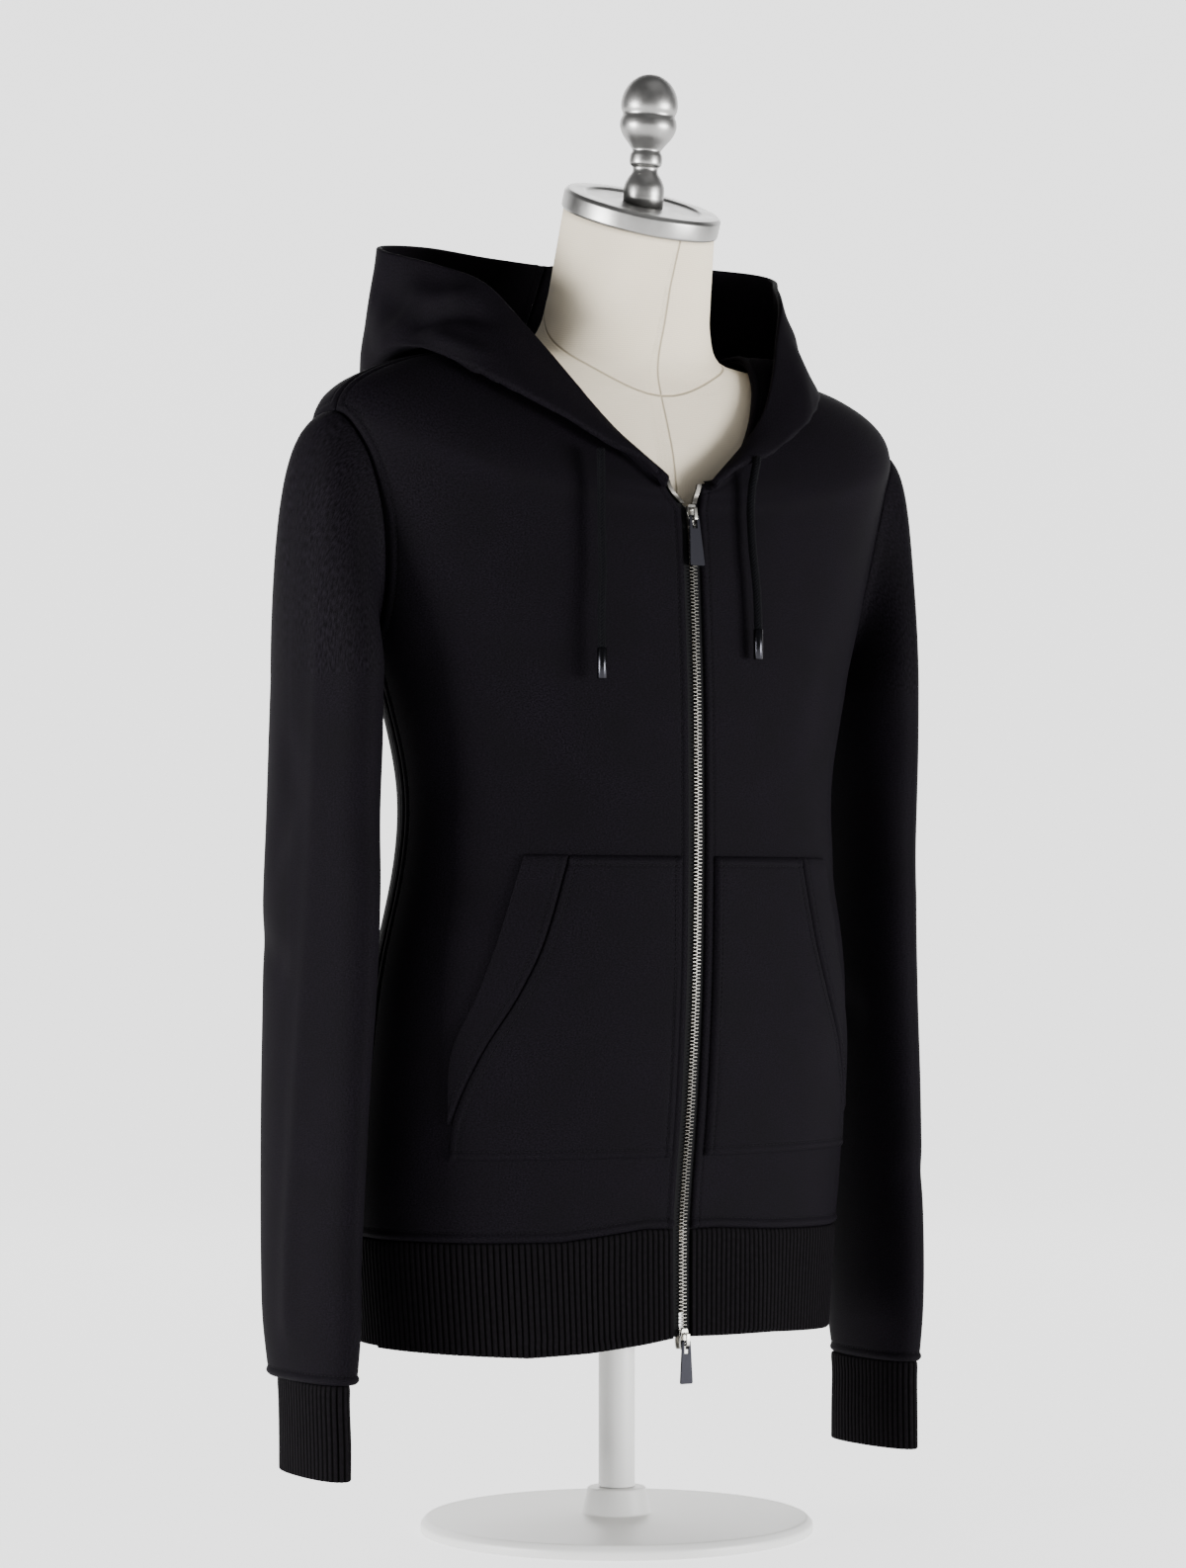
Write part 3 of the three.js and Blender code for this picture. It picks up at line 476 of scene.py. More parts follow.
def stepped(length, steps=SEAM_STEPS, middle=MIDDLE_STEP):
    """Places from 0 to length: the given steps at both ends and even ones between."""
    inner = length - 2 * steps[-1]
    count = max(2, round(inner / middle))
    even = steps[-1] + inner * np.arange(1, count) / count
    return np.concatenate([steps, even, length - steps[::-1]])


def spread(places, length):
    """Places given for a middling length, moved to another length with the end steps kept."""
    whole, kept = places[-1], SEAM_STEPS[-1]
    near = np.minimum(places, whole - places)
    middle = (near - kept) * (length - 2 * kept) / (whole - 2 * kept)
    grown = np.where(near <= kept, near, kept + middle)
    return np.where(places <= whole / 2, grown, length - grown)


def surface_rows(levels, edges, side, count):
    """Fine rows across the garment between two edges: their angles, and the run along each."""
    edge_from, edge_to = edges(levels)
    angles = edge_from[:, None] + (edge_to - edge_from)[:, None] * np.linspace(0, 1, count)
    return angles, run_length(torso(side * angles, levels[:, None]), 1)


def panel_grid(levels, edges, side):
    """A piece of the garment's surface, and each point's distance from its two side edges."""
    angles, run = surface_rows(levels, edges, side, 240)
    places = stepped(float(np.median(run[:, -1])))
    grid, near = [], []
    for level, row, row_run in zip(levels, angles, run):
        whole = row_run[-1]
        at = spread(places, whole) if whole > 2.4 * SEAM_STEPS[-1] else places / places[-1] * whole
        grid.append(torso(side * np.interp(at, row_run, row), level))
        near.append((at, whole - at))
    return np.array(grid), *np.array(near).transpose(1, 0, 2)


def grid_normals(grid, closed=False):
    """Unit normals of a grid of points; a closed grid's rows join their own start."""
    if closed:
        wide = np.concatenate([grid[:, -1:], grid, grid[:, :1]], 1)
        return unit(np.cross(wide[:, 2:] - wide[:, :-2], np.gradient(grid, axis=0)))
    return unit(np.cross(np.gradient(grid, axis=1), np.gradient(grid, axis=0)))


def surveyed(grid, closed=False, axis=(0, 0.01)):
    """A grid's normals away from an upright axis, and each point's run up and down its column."""
    normals = grid_normals(grid, closed)
    outward = (normals[..., :2] * (grid[..., :2] - axis)).sum() > 0
    up = run_length(grid)
    return normals if outward else -normals, up, up[-1:] - up


def pressed(near, depth, width=0.003):
    """Cloth drawn in towards a line, by its distance from it."""
    return -depth * np.exp(-(near / width) ** 2)


SEAM_TURN = dict(depth=0.0007, width=0.0010)
STITCH_WIDTH = 0.0008         # width of the furrow that the topstitches draw in
PUFF_WIDTH = 0.33             # width of the roll between edge and stitches, as a part of theirs


def seam_roll(near, roll=0.0005, stitch_at=0.0068, dip=0.0005):
    """The rise and fall of cloth beside a turned and topstitched edge, at a distance from it."""
    return (pressed(near, **SEAM_TURN)
            - pressed(near - stitch_at / 2, roll, PUFF_WIDTH * stitch_at)
            + pressed(near - stitch_at, dip, STITCH_WIDTH))


# Millimetres by which the hem band's seam and free edge sag, by distance from the centre line
HEM_SEAM_SAG = np.array([(-200, 3), (-150, 4), (-90, 4), (-55, 0), (-30, -3), (0, -2), (30, -2),
                         (80, 1.5), (150, 4), (200, 4)]) / 1000
HEM_EDGE_SAG = np.array([(-200, 5), (-150, 8), (-110, 10), (-70, 8), (-30, 4), (0, 0), (30, 1),
                         (80, 2), (150, 6), (200, 6)]) / 1000
SAG_FADE = 0.05               # the cloth above the seam sags over this height


def settled(grid, levels):
    """Lets the hem band and the cloth just above it sag, least beside the zip."""
    x, y = grid[..., 0], grid[..., 1]
    at = np.where(y < 0.02, x, np.sign(x) * 0.2)
    seam_sag, edge_sag = np.interp(at, *HEM_SEAM_SAG.T), np.interp(at, *HEM_EDGE_SAG.T)
    level = levels[:, None]
    above = np.clip(1 - (level - RIB_TOP) / SAG_FADE, 0, 1)
    sag = np.where(level < RIB_TOP,
                   edge_sag + (seam_sag - edge_sag) * np.clip(level / RIB_TOP, 0, 1),
                   seam_sag * above * above * (3 - 2 * above))
    return grid - sag[..., None] * [0, 0, 1]


def line_distance(points, line):
    """Distance from each point to a line of straight stretches, and how far along it that is."""
    best = np.full(points.shape[:-1], 1e9)
    along = np.zeros(points.shape[:-1])
    run = run_length(line)
    for a, b, start in zip(line[:-1], line[1:], run):
        stretch = b - a
        t = np.clip(((points - a) @ stretch) / (stretch @ stretch), 0, 1)
        gap = np.linalg.norm(points - (a + t[..., None] * stretch), axis=-1)
        closer = gap < best
        best = np.where(closer, gap, best)
        along = np.where(closer, (start + t * np.linalg.norm(stretch)) / run[-1], along)
    return best, along


def folds(points, rows):
    """Soft ridges and troughs. A row has a rise, a half width, a line and how far its ends fade."""
    lift = np.zeros(points.shape[:-1])
    for rise, width, line, *fades in rows:
        fade_in, fade_out = fades or (0.3, 0.3)
        gap, along = line_distance(points, np.array(line) / 1000)
        fade = np.clip(along / fade_in, 0, 1) * np.clip((1 - along) / fade_out, 0, 1)
        fade = fade * fade * (3 - 2 * fade)
        lift += rise / 1000 * np.exp(-(gap / (width / 1000)) ** 2) * fade
    return lift


def flat_places(grid):
    """Each point's place on the flat cloth, in metres: its run along its row and up its column."""
    across, up = run_length(grid, 1), run_length(grid)
    middle = slice(grid.shape[1] // 2, grid.shape[1] // 2 + 1)
    return np.stack(np.broadcast_arrays(across - across[:, middle], up[:, middle]), -1)


def face_outwards(made):
    """Turns a closed mesh's faces so that they look outwards."""
    mesh = made.data
    points = np.empty(len(mesh.vertices) * 3)
    mesh.vertices.foreach_get("co", points)
    mesh.calc_loop_triangles()
    corners = np.empty(len(mesh.loop_triangles) * 3, int)
    mesh.loop_triangles.foreach_get("vertices", corners)
    a, b, c = points.reshape(-1, 3)[corners.reshape(-1, 3).T]
    if np.einsum("ij,ij->i", a, np.cross(b, c)).sum() < 0:
        mesh.flip_normals()
    return made


BORDER_THIN = 0.25            # thickness of a piece at its very border, as a part of the rest


def wall_piece(name, grid, normals, edge, lift, material, thickness=CLOTH, closed=False,
               cut=None, rounding=0.0010):
    """A thin closed shell on a grid; edge is each point's distance from its rounded border."""
    part = np.clip(edge / rounding, 0, 1)
    thick = thickness * (BORDER_THIN + (1 - BORDER_THIN) * np.sqrt(1 - (1 - part) ** 2))
    middle = grid + normals * (lift - thickness / 2)[..., None]
    half = normals * (thick / 2)[..., None]
    rows, cols = grid.shape[:2]
    count = rows * cols
    index = np.arange(count).reshape(rows, cols)
    skin = grid_faces(rows, cols, closed)
    faces = skin.tolist() + (skin[:, ::-1] + count).tolist()
    rims = [(index[0], -1), (index[-1], 1)]
    if closed:
        rims = [(np.append(ring, ring[0]), way) for ring, way in rims]
    else:
        rims += [(index[:, 0], 1), (index[:, -1], -1)]
    for ring, way in rims:
        a, b = ring[:-1], ring[1:]
        faces += np.stack([a, b, b + count, a + count], -1)[:, ::way].tolist()
    cut = flat_places(grid) if cut is None else cut
    made = make_mesh(name, np.concatenate([middle + half, middle - half]), faces, material,
                     cut=np.concatenate([cut, cut]))
    return face_outwards(made)


def cloth_place(tree, layer="cut"):
    """Each point's place on the flat cloth, in metres."""
    return add_node(tree, "UVMap", {}, uv_map=layer).outputs["UV"]


def courses(tree, across, along):
    """The flat cloth's places in stitches, as many a metre each way."""
    inputs = {"Vector": cloth_place(tree), "Scale": (across, along, 1.0)}
    return add_node(tree, "Mapping", inputs).outputs["Vector"]


def double_jersey(tree):
    """Double jersey of fine viscose and polyamide: near black, matt, with a faint bloom at
    grazing light and a trace of the knit's courses."""
    knit = noise(tree, courses(tree, 420.0, 1150.0), 1.0, Roughness=0.6)
    marl = noise(tree, courses(tree, 820.0, 1250.0), 1.0)
    cloud = noise(tree, cloth_place(tree), 24.0, 3.0)
    yarn = blend(tree, ranged(tree, marl, (0.34, 0.68)), "#020103", "#18151b")
    return {"Base Color": blend(tree, cloud, yarn, "#0b0a0c"), "Roughness": 0.7,
            "Specular IOR Level": 0.02, "Sheen Weight": 0.003, "Sheen Roughness": 0.45,
            "Sheen Tint": linear("#cfc9dd"), "Normal": bump(tree, knit, 0.00016, 0.5)}


def sewing_thread(tree):
    """Spun polyester sewing thread, black with a light gloss."""
    twist = noise(tree, solid_place(tree), 3000.0)
    return {"Base Color": blend(tree, twist, "#0a090b", "#131215"), "Roughness": 0.6,
            "Specular IOR Level": 0.05}


jersey = new_material("double_jersey", double_jersey)
seam_thread = new_material("polyester_thread", sewing_thread)
STITCH = dict(pitch=0.0032, length=0.0023, half_width=0.00026, rise=0.00022, sides=5)
# Along a stitch, as parts of its size: place, width and height over the cloth
STITCH_RINGS = [(-0.5, 0.15, -0.2), (-0.36, 0.85, 0.55), (0, 1, 1), (0.36, 0.85, 0.55),
                (0.5, 0.15, -0.2)]
SEAM_STITCH = 0.0068          # from a seam to its topstitches
EDGE_STITCH = 0.0058          # those beside the zip lie nearer the edge


def sewn(piece, panel):
    """Fixes stitches or an allowance to the panel that they belong to."""
    piece.parent = panel


def stitch_row(name, line, normals, panel):
    """A row of topstitches along a line on a panel, each a short rounded bar of thread."""
    run = run_length(line)
    count = max(1, int(run[-1] / STITCH["pitch"]))
    middles = (np.arange(count) + 0.5) * run[-1] / count
    base = points_at(line, run, middles)
    ahead = unit(points_at(line, run, middles + 1e-4) - points_at(line, run, middles - 1e-4))
    up = unit(points_at(normals, run, middles))
    across = np.cross(ahead, up)
    points = []
    for place, width, height in STITCH_RINGS:
        centre = base + ahead * place * STITCH["length"] + up * height * STITCH["rise"]
        half = width * STITCH["half_width"]
        points.append(rings_round(centre, across * half, up * half, STITCH["sides"]))
    rings, sides = len(STITCH_RINGS), STITCH["sides"]
    index = np.arange(rings * sides).reshape(rings, sides)
    one = [*grid_faces(rings, sides, closed=True), index[0], index[-1, ::-1]]
    faces = [[int(v) + index.size * i for v in face] for i in range(count) for face in one]
    sewn(make_mesh(name, np.stack(points, 1), faces, seam_thread), panel)


def stitched(name, panel, grid, normals, lift, rows):
    """Topstitches on a panel. A row: distances from an edge, the value, and if it runs across."""
    for i, (distance, value, across) in enumerate(rows):
        fields = (grid + normals * lift[..., None], distance, normals)
        fields = [np.swapaxes(field, 0, 1) if across else field for field in fields]
        line, ups = [], []
        for points, gaps, up in zip(*fields):
            order = np.argsort(gaps)
            if gaps[order[0]] <= value <= gaps[order[-1]]:
                line.append([np.interp(value, gaps[order], points[order, k]) for k in range(3)])
                ups.append([np.interp(value, gaps[order], up[order, k]) for k in range(3)])
        stitch_row(f"{name}_stitches_{i + 1}", np.array(line), np.array(ups), panel)


ALLOWANCE = 0.0006            # thickness drawn for the pressed allowances behind a seam
ALLOWANCE_DEPTH = 0.0024      # how far behind the garment's outside they lie
LEVEL_STEP = dict(close=0.0011, growth=0.3, widest=0.0050, least=0.0006)


def backing(name, grid, panel, closed=False):
    """The seam allowances behind a seam, as one thin strip on a grid of its outer face."""
    flat = np.zeros(grid.shape[:2])
    sewn(wall_piece(name, grid, surveyed(grid, closed)[0], flat + 1.0, flat, jersey,
                    thickness=ALLOWANCE, closed=closed), panel)


def levels_between(low, high, close):
    """Levels from low to high, closer together round each (level, reach) of close."""
    levels = [low]
    while levels[-1] < high:
        gap = max(min(abs(levels[-1] - at) - reach for at, reach in close), 0)
        step = min(LEVEL_STEP["close"] + gap * LEVEL_STEP["growth"], LEVEL_STEP["widest"])
        levels.append(levels[-1] + step)
    return np.append(levels[:-1] if levels[-2] < high - LEVEL_STEP["least"] else levels[:-2], high)


BODY_LOW = RIB_TOP + SEAM_GAP
BODY_LEVELS = levels_between(BODY_LOW, NECK_LEVEL, [
    (RIB_TOP, 0.010), (ARMPIT_LEVEL, 0.012), (SHOULDER_LEVEL, 0.014), (NECK_LEVEL, 0.010)])


def edge_gap(level):
    """Half the gap of a seam, as an angle at a level."""
    return SEAM_GAP / 2 / torso_at["side"](level)


# Creases of the fronts in millimetres: across the waist, and where each sleeve pulls
FRONT_FOLDS = {
    "right": [(-1.6, 20, [(-150, -62, 640), (-120, -82, 560), (-100, -92, 470)]),
              (1.4, 14, [(-172, -40, 600), (-160, -58, 540), (-140, -74, 480)]),
              (-1.2, 18, [(-165, -20, 450), (-130, -62, 430), (-80, -92, 425)])],
    "left": [(-1.4, 18, [(150, -62, 640), (126, -80, 570), (108, -90, 500)]),
             (-1.2, 20, [(168, -30, 460), (140, -58, 435), (100, -86, 430)]),
             (1.0, 13, [(175, -40, 590), (158, -58, 530)])],
}
for word, side in SIDES.items():
    edges = lambda level: (angle_at(ZIP_EDGE + zip_flare(FLARE[word], level), level),
                           armhole_angle(level, 1) - edge_gap(level))
    grid, near_zip, near_side = panel_grid(BODY_LEVELS, edges, side)
    grid = settled(grid, BODY_LEVELS)
    normals, up, down = surveyed(grid)
    from_armhole = line_distance(grid, torso(side * edges(BODY_LEVELS)[1], BODY_LEVELS))[0]
    lift = (seam_roll(near_zip, 0.0005, EDGE_STITCH) + seam_roll(from_armhole, 0.0007)
            + seam_roll(up, 0.0011) + seam_roll(down) + folds(grid, FRONT_FOLDS[word]))
    front = wall_piece(f"front_panel_{word}", grid, normals,
                       np.min([near_zip, near_side, up, down], 0), lift, jersey)
    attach(front, "sweater_and_form")
    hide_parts(f"front_{word}")
    stitched(f"front_{word}", front, grid, normals, lift, [
        (near_zip, EDGE_STITCH, False), (from_armhole, SEAM_STITCH, False),
        (up, SEAM_STITCH, True)])

# ---------------------------------------------------------------------------------------------
# Back: one cut piece of the same jersey from side seam to side seam, joined to the fronts along
# the shoulders. It hangs from the shoulder blades and eases in a little at the waist.
# ---------------------------------------------------------------------------------------------
BACK_FOLDS = [
    (-2.0, 22, [(125, 98, 640), (100, 112, 540), (85, 105, 450)]),
    (-1.7, 20, [(-130, 96, 650), (-108, 110, 560), (-88, 106, 460)]),
    (-1.8, 19, [(150, 70, 520), (110, 98, 470), (50, 108, 440)]),
    (-1.5, 20, [(-152, 68, 515), (-120, 94, 480), (-60, 106, 462)]),
    (1.3, 24, [(60, 112, 400), (15, 117, 385), (-45, 113, 395)]),
    (1.6, 26, [(20, 118, 330), (8, 126, 260), (15, 130, 225)]),
    (-1.4, 24, [(-70, 112, 340), (-80, 119, 270), (-78, 122, 225)]),
]
ALLOWANCE_REACH = np.array([-0.0045, -0.0022, 0, 0.0022, 0.0045])
ARMHOLE_GROWN = 1 + np.array([0.12, 0.06, 0, -0.04, -0.08, -0.12])[:, None]


def back_edges(level):
    """The angles of the back's two side edges at a level."""
    first = armhole_angle(level, -1) + edge_gap(level)
    return first, 2 * math.pi - first


grid, near_first, near_last = panel_grid(BODY_LEVELS, back_edges, 1)
grid = settled(grid, BODY_LEVELS)
normals, up, down = surveyed(grid)
from_left, from_right = (line_distance(grid, torso(edge, BODY_LEVELS))[0]
                         for edge in back_edges(BODY_LEVELS))
lift = (seam_roll(np.minimum(from_left, from_right), 0.0007) + seam_roll(up, 0.0011)
        + seam_roll(down) + folds(grid, BACK_FOLDS))
back = wall_piece("back_panel", grid, normals, np.min([near_first, near_last, up, down], 0),
                  lift, jersey)
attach(back, "sweater_and_form")
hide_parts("back")
stitched("back", back, grid, normals, lift, [
    (from_left, SEAM_STITCH, False), (from_right, SEAM_STITCH, False), (up, SEAM_STITCH, True)])

# Allowances behind the side, shoulder and armhole seams
for word, side in SIDES.items():
    for seam, low, high in (("side", BODY_LOW, ARMPIT_LEVEL),
                            ("shoulder", SHOULDER_LEVEL, NECK_LEVEL)):
        levels = np.linspace(low, high, 60)[:, None]
        angles = side_seam(levels) + ALLOWANCE_REACH / torso_at["side"](levels)
        backing(f"{seam}_allowance_{word}",
                torso_out(side * angles, levels, -ALLOWANCE_DEPTH), back)
    ring_level, ring_angle = armhole(full_turn(90))
    levels = ARMHOLE_MIDDLE + (ring_level - ARMHOLE_MIDDLE) * ARMHOLE_GROWN
    angles = side_seam(levels) + (ring_angle - side_seam(ring_level)) * ARMHOLE_GROWN
    backing(f"armhole_allowance_{word}", torso_out(side * angles, levels, -ALLOWANCE_DEPTH), back,
            closed=True)

# ---------------------------------------------------------------------------------------------
# Hem band and cuffs: 1x1 rib of the same yarn, knitted tight so that it draws in. Each is one
# strip folded double, its fold at the free edge, with ribs about 4 mm apart.
# ---------------------------------------------------------------------------------------------
RIB_PITCH = 0.0041
RIB_DEPTH = 0.0014
RIB_LINES = 6                 # lines of points across one rib
RIB_WALL = 0.0026             # two layers of rib
RIB_DRAW = 0.006              # the ribs flatten over this distance from a seam
RIB_EDGE = 0.0014             # how roundly the band's edges are folded


def rib_profile(run, pitch):
    """The height of a rib across its run: a broad round top and a narrow deep furrow."""
    phase = np.abs(((run / pitch) % 1) * 2 - 1)
    return RIB_DEPTH * (np.sqrt(np.clip(1 - phase ** 4, 0, 1)) - 0.85)


def rib_cut(ribs, up):
    """Each point's place on the flat rib: across it in whole ribs of one pitch, and up it."""
    across = np.linspace(0, ribs * RIB_PITCH, ribs * RIB_LINES + 1)[:up.shape[1]]
    return np.stack(np.broadcast_arrays(across, up), -1)


def maths(tree, operation, *values):
    """A sum on values."""
    return add_node(tree, "Math", dict(enumerate(values)), operation=operation).outputs["Value"]


def rib_knit(tree):
    """Rib of the same near-black yarn: a little duller, with painted shade down in its furrows."""
    knit = noise(tree, courses(tree, 900.0, 1300.0), 1.0)
    marl = noise(tree, cloth_place(tree), 300.0, 3.0)
    across = add_node(tree, "SeparateXYZ", {"Vector": cloth_place(tree)}).outputs["X"]
    rib = maths(tree, "WRAP", maths(tree, "MULTIPLY", across, 1 / RIB_PITCH), 1.0, 0.0)
    aside = maths(tree, "ABSOLUTE", maths(tree, "SUBTRACT", rib, 0.5))
    # Painted shade: the colour goes to near black (#030303) towards each rib's edges, down in the
    # furrows.
    furrow = ranged(tree, aside, (0.20, 0.44), kind="SMOOTHSTEP")
    yarn = blend(tree, marl, "#070607", "#121013")
    return {"Base Color": blend(tree, furrow, yarn, "#030303"), "Roughness": 0.8,
            "Specular IOR Level": 0.02, "Sheen Weight": 0.003, "Sheen Roughness": 0.5,
            "Sheen Tint": linear("#cfc9dd"), "Normal": bump(tree, knit, 0.00018, 0.5)}


rib_material = new_material("rib_knit", rib_knit)
# Waves of the hem band, where it springs back from the form
HEM_FOLDS = [
    (2.2, 22, [(-115, -64, 212), (-110, -66, 140)], 0.6, 0.01),
    (-1.6, 20, [(-60, -80, 212), (-56, -80, 140)], 0.6, 0.01),
    (1.8, 20, [(70, -78, 212), (66, -79, 140)], 0.6, 0.01),
    (-2.4, 26, [(125, 85, 212), (120, 90, 140)], 0.6, 0.01),
    (2.2, 26, [(30, 128, 212), (36, 128, 140)], 0.6, 0.01),
    (-2.0, 24, [(-90, 110, 212), (-95, 108, 140)], 0.6, 0.01),
]
HEM_ROUND = 0.03              # the level whose length is shared out into ribs
hem_levels = np.concatenate([[0, 0.0002, 0.0007, 0.0014, 0.0024, 0.004],
                             np.arange(0.007, RIB_TOP - 0.004, 0.0045),
                             RIB_TOP - np.array([0.004, 0.0025, 0.0014, 0.0006, 0])])
hem_from = angle_at(ZIP_EDGE, HEM_ROUND)
hem_to = 2 * math.pi - hem_from
fine_angles = np.linspace(hem_from, hem_to, 4000)
hem_run = run_length(torso(fine_angles, HEM_ROUND))
hem_ribs = round(hem_run[-1] / RIB_PITCH)
hem_places = np.linspace(0, hem_run[-1], hem_ribs * RIB_LINES + 1)
hem_angles = np.interp(hem_places, hem_run, fine_angles)
grid = settled(torso(hem_angles, hem_levels[:, None]), hem_levels)
normals, up, down = surveyed(grid)
near_end = np.broadcast_to(np.minimum(hem_places, hem_places[-1] - hem_places), up.shape)
drawn = np.clip(down / RIB_DRAW, 0, 1) * np.clip(near_end / RIB_DRAW, 0, 1)
lift = (rib_profile(hem_places, hem_places[-1] / hem_ribs) * (0.25 + 0.75 * drawn)
        + folds(grid, HEM_FOLDS) + pressed(down, 0.0006))
hem = wall_piece("hem_band", grid, normals, np.min([up, down, near_end], 0), lift, rib_material,
                 thickness=RIB_WALL, rounding=RIB_EDGE, cut=rib_cut(hem_ribs, down))
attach(hem, "sweater_and_form")
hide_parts("hem_rib")
strip_levels = np.linspace(RIB_TOP - 0.006, RIB_TOP + 0.006, 5)
strip = torso_out(np.linspace(hem_from, hem_to, 240), strip_levels[:, None], -RIB_WALL - 0.0002)
backing("hem_allowance", settled(strip, strip_levels), hem)

# ---------------------------------------------------------------------------------------------
# Sleeves: one cut piece each, sewn to a tube under the arm and set into the armhole. They hang
# straight and half flat, with a soft ridge down the outer side, and end in the ribbed cuffs.
# ---------------------------------------------------------------------------------------------
SLEEVE_GAP = 0.0007
SLEEVE_LINES = 84
CUFF_STITCH = 0.0064
HANG = {"right": -0.004, "left": 0.008}      # how much lower each sleeve ends
ARM_AXIS = (0.218, 0.018)
# Millimetres and degrees: height over the hem, the section's centre, half thickness and half
# depth, and how far it is turned out at the front
TUBE = "z x y thick deep turn"
TUBE_UNITS = [1000, 1000, 1000, 1000, 1000, 1]
SLEEVE = [
    (440, 216, 20, 25.5, 66, 3), (400, 217, 20, 25, 66, 2), (350, 218.5, 21, 24, 65, 1),
    (290, 220, 21, 23, 65, -1), (230, 222, 20, 22, 63.5, -1), (170, 225.5, 19, 20, 62, -1),
    (110, 228, 18, 19, 60, -1), (50, 230.5, 16, 18.5, 57, -1), (10, 231, 14, 18, 54.5, -2),
    (-27, 231, 12.5, 16.5, 48.5, -2),
]
CUFF = [(-27.4, 230, 13, 14.5, 45, 3), (-40, 230, 12.5, 14, 44, 3), (-66, 229.5, 12, 14, 44.5, 3),
        (-90, 229.5, 12, 13.5, 45, 3)]
CUFF_SEAM = [(z, x, y, thick - 3, deep - 3, turn) for z, x, y, thick, deep, turn in CUFF[:2]]
CUFF_SEAM.append((CUFF_SEAM[0][0] + 6, *CUFF_SEAM[0][1:]))
SLEEVE_TOP, SLEEVE_LOW = SLEEVE[0][0] / 1000, SLEEVE[-1][0] / 1000
CUFF_TOP, CUFF_LOW = CUFF[0][0] / 1000, CUFF[-1][0] / 1000
CUFF_ROUND = -0.06            # the height at which a cuff's length is shared out into ribs


def tube_rings(rows, heights, turns, side, hang):
    """Rings of a flat hanging tube at the given heights; what hangs lower does so by its end."""
    read = smooth_table(TUBE, rows, TUBE_UNITS)
    z = np.asarray(heights)[:, None]
    swing = np.radians(read["turn"](z))
    out = read["thick"](z) * rounded(np.cos(turns))
    fore = -read["deep"](z) * rounded(np.sin(turns))
    x = read["x"](z) + out * np.cos(swing) - fore * np.sin(swing)
    y = read["y"](z) + out * np.sin(swing) + fore * np.cos(swing)
    lowered = z - hang * np.minimum((SLEEVE_TOP - z) / SLEEVE_TOP, 1)
    return np.stack([side * x, y, lowered + HEM_HEIGHT + 0 * x], -1)


# How a sleeve leaves its armhole: straight out, and out and down as parts of its height there
HEAD = dict(out=0.006, slant=0.13, drop=0.06, hang=0.5)


def sleeve_head(side, turns, steps):
    """Rings from the armhole over the shoulder down to the sleeve's first straight section."""
    level, angle = armhole(turns)
    start = torso(side * angle, level)
    end = tube_rings(SLEEVE, [SLEEVE_TOP], turns, side, 0)[0]
    height = (start[:, 2] - end[:, 2])[:, None]
    out = side * (HEAD["out"] + height * HEAD["slant"])
    first = start + np.concatenate([out, 0 * height, -height * HEAD["drop"]], 1)
    second = end + height * [0, 0, HEAD["hang"]]
    t = steps[:, None, None]
    curve = ((1 - t) ** 3 * start + 3 * t * (1 - t) ** 2 * first + 3 * t * t * (1 - t) * second
             + t ** 3 * end)
    return curve + np.array([side, 0, 0]) * SLEEVE_GAP * (1 - t)


SLEEVE_FOLDS = {
    "right": [
        (2.0, 10, [(-229, -19, 736), (-237, -22, 683), (-240, -18, 632), (-244, -10, 480),
                   (-246, 4, 330), (-246, 12, 220), (-246, 14, 135)], 0.06, 0.04),
        (-1.8, 16, [(-236, 30, 560), (-244, 20, 500), (-240, 60, 440)]),
        (-1.8, 14, [(-205, -38, 600), (-215, -42, 520), (-225, -40, 440)]),
        (-2.0, 15, [(-225, 84, 420), (-243, 50, 395), (-245, 15, 385)]),
        (-2.2, 16, [(-200, 60, 330), (-198, 20, 345), (-205, -20, 350)])],
    "left": [
        (2.0, 13, [(243, 0, 640), (246, 4, 540), (246, 10, 400), (248, 6, 250), (249, 2, 130)],
         0.15, 0.05),
        (-1.8, 14, [(206, -38, 590), (216, -42, 500), (226, -40, 430)]),
        (-2.0, 16, [(232, 80, 450), (243, 50, 415), (244, 20, 400)]),
        (-2.0, 16, [(200, 55, 350), (198, 15, 360), (206, -22, 352)]),
        (-1.2, 14, [(240, -30, 250), (225, -43, 235), (208, -38, 240)])],
}
head_steps = np.concatenate([[0, 0.002, 0.005, 0.009, 0.014, 0.02, 0.028, 0.036, 0.046, 0.058],
                             np.linspace(0.075, 0.97, 38)])
arm_heights = np.concatenate([
    np.arange(SLEEVE_TOP, SLEEVE_LOW + 0.014, -0.0045),
    SLEEVE_LOW + np.array([13.5, 11, 9.5, 8.3, 7.4, 6.6, 5.8, 5, 4, 3, 2, 1.2, 0.6, 0.2,
                           0]) / 1000])
cuff_heights = np.concatenate([CUFF_TOP - np.array([0, 0.0004, 0.001, 0.002, 0.0035, 0.0055]),
                               np.arange(CUFF_TOP - 0.009, CUFF_LOW + 0.004, -0.0045),
                               CUFF_LOW + np.array([0.004, 0.0024, 0.0014, 0.0007, 0.0002, 0])])
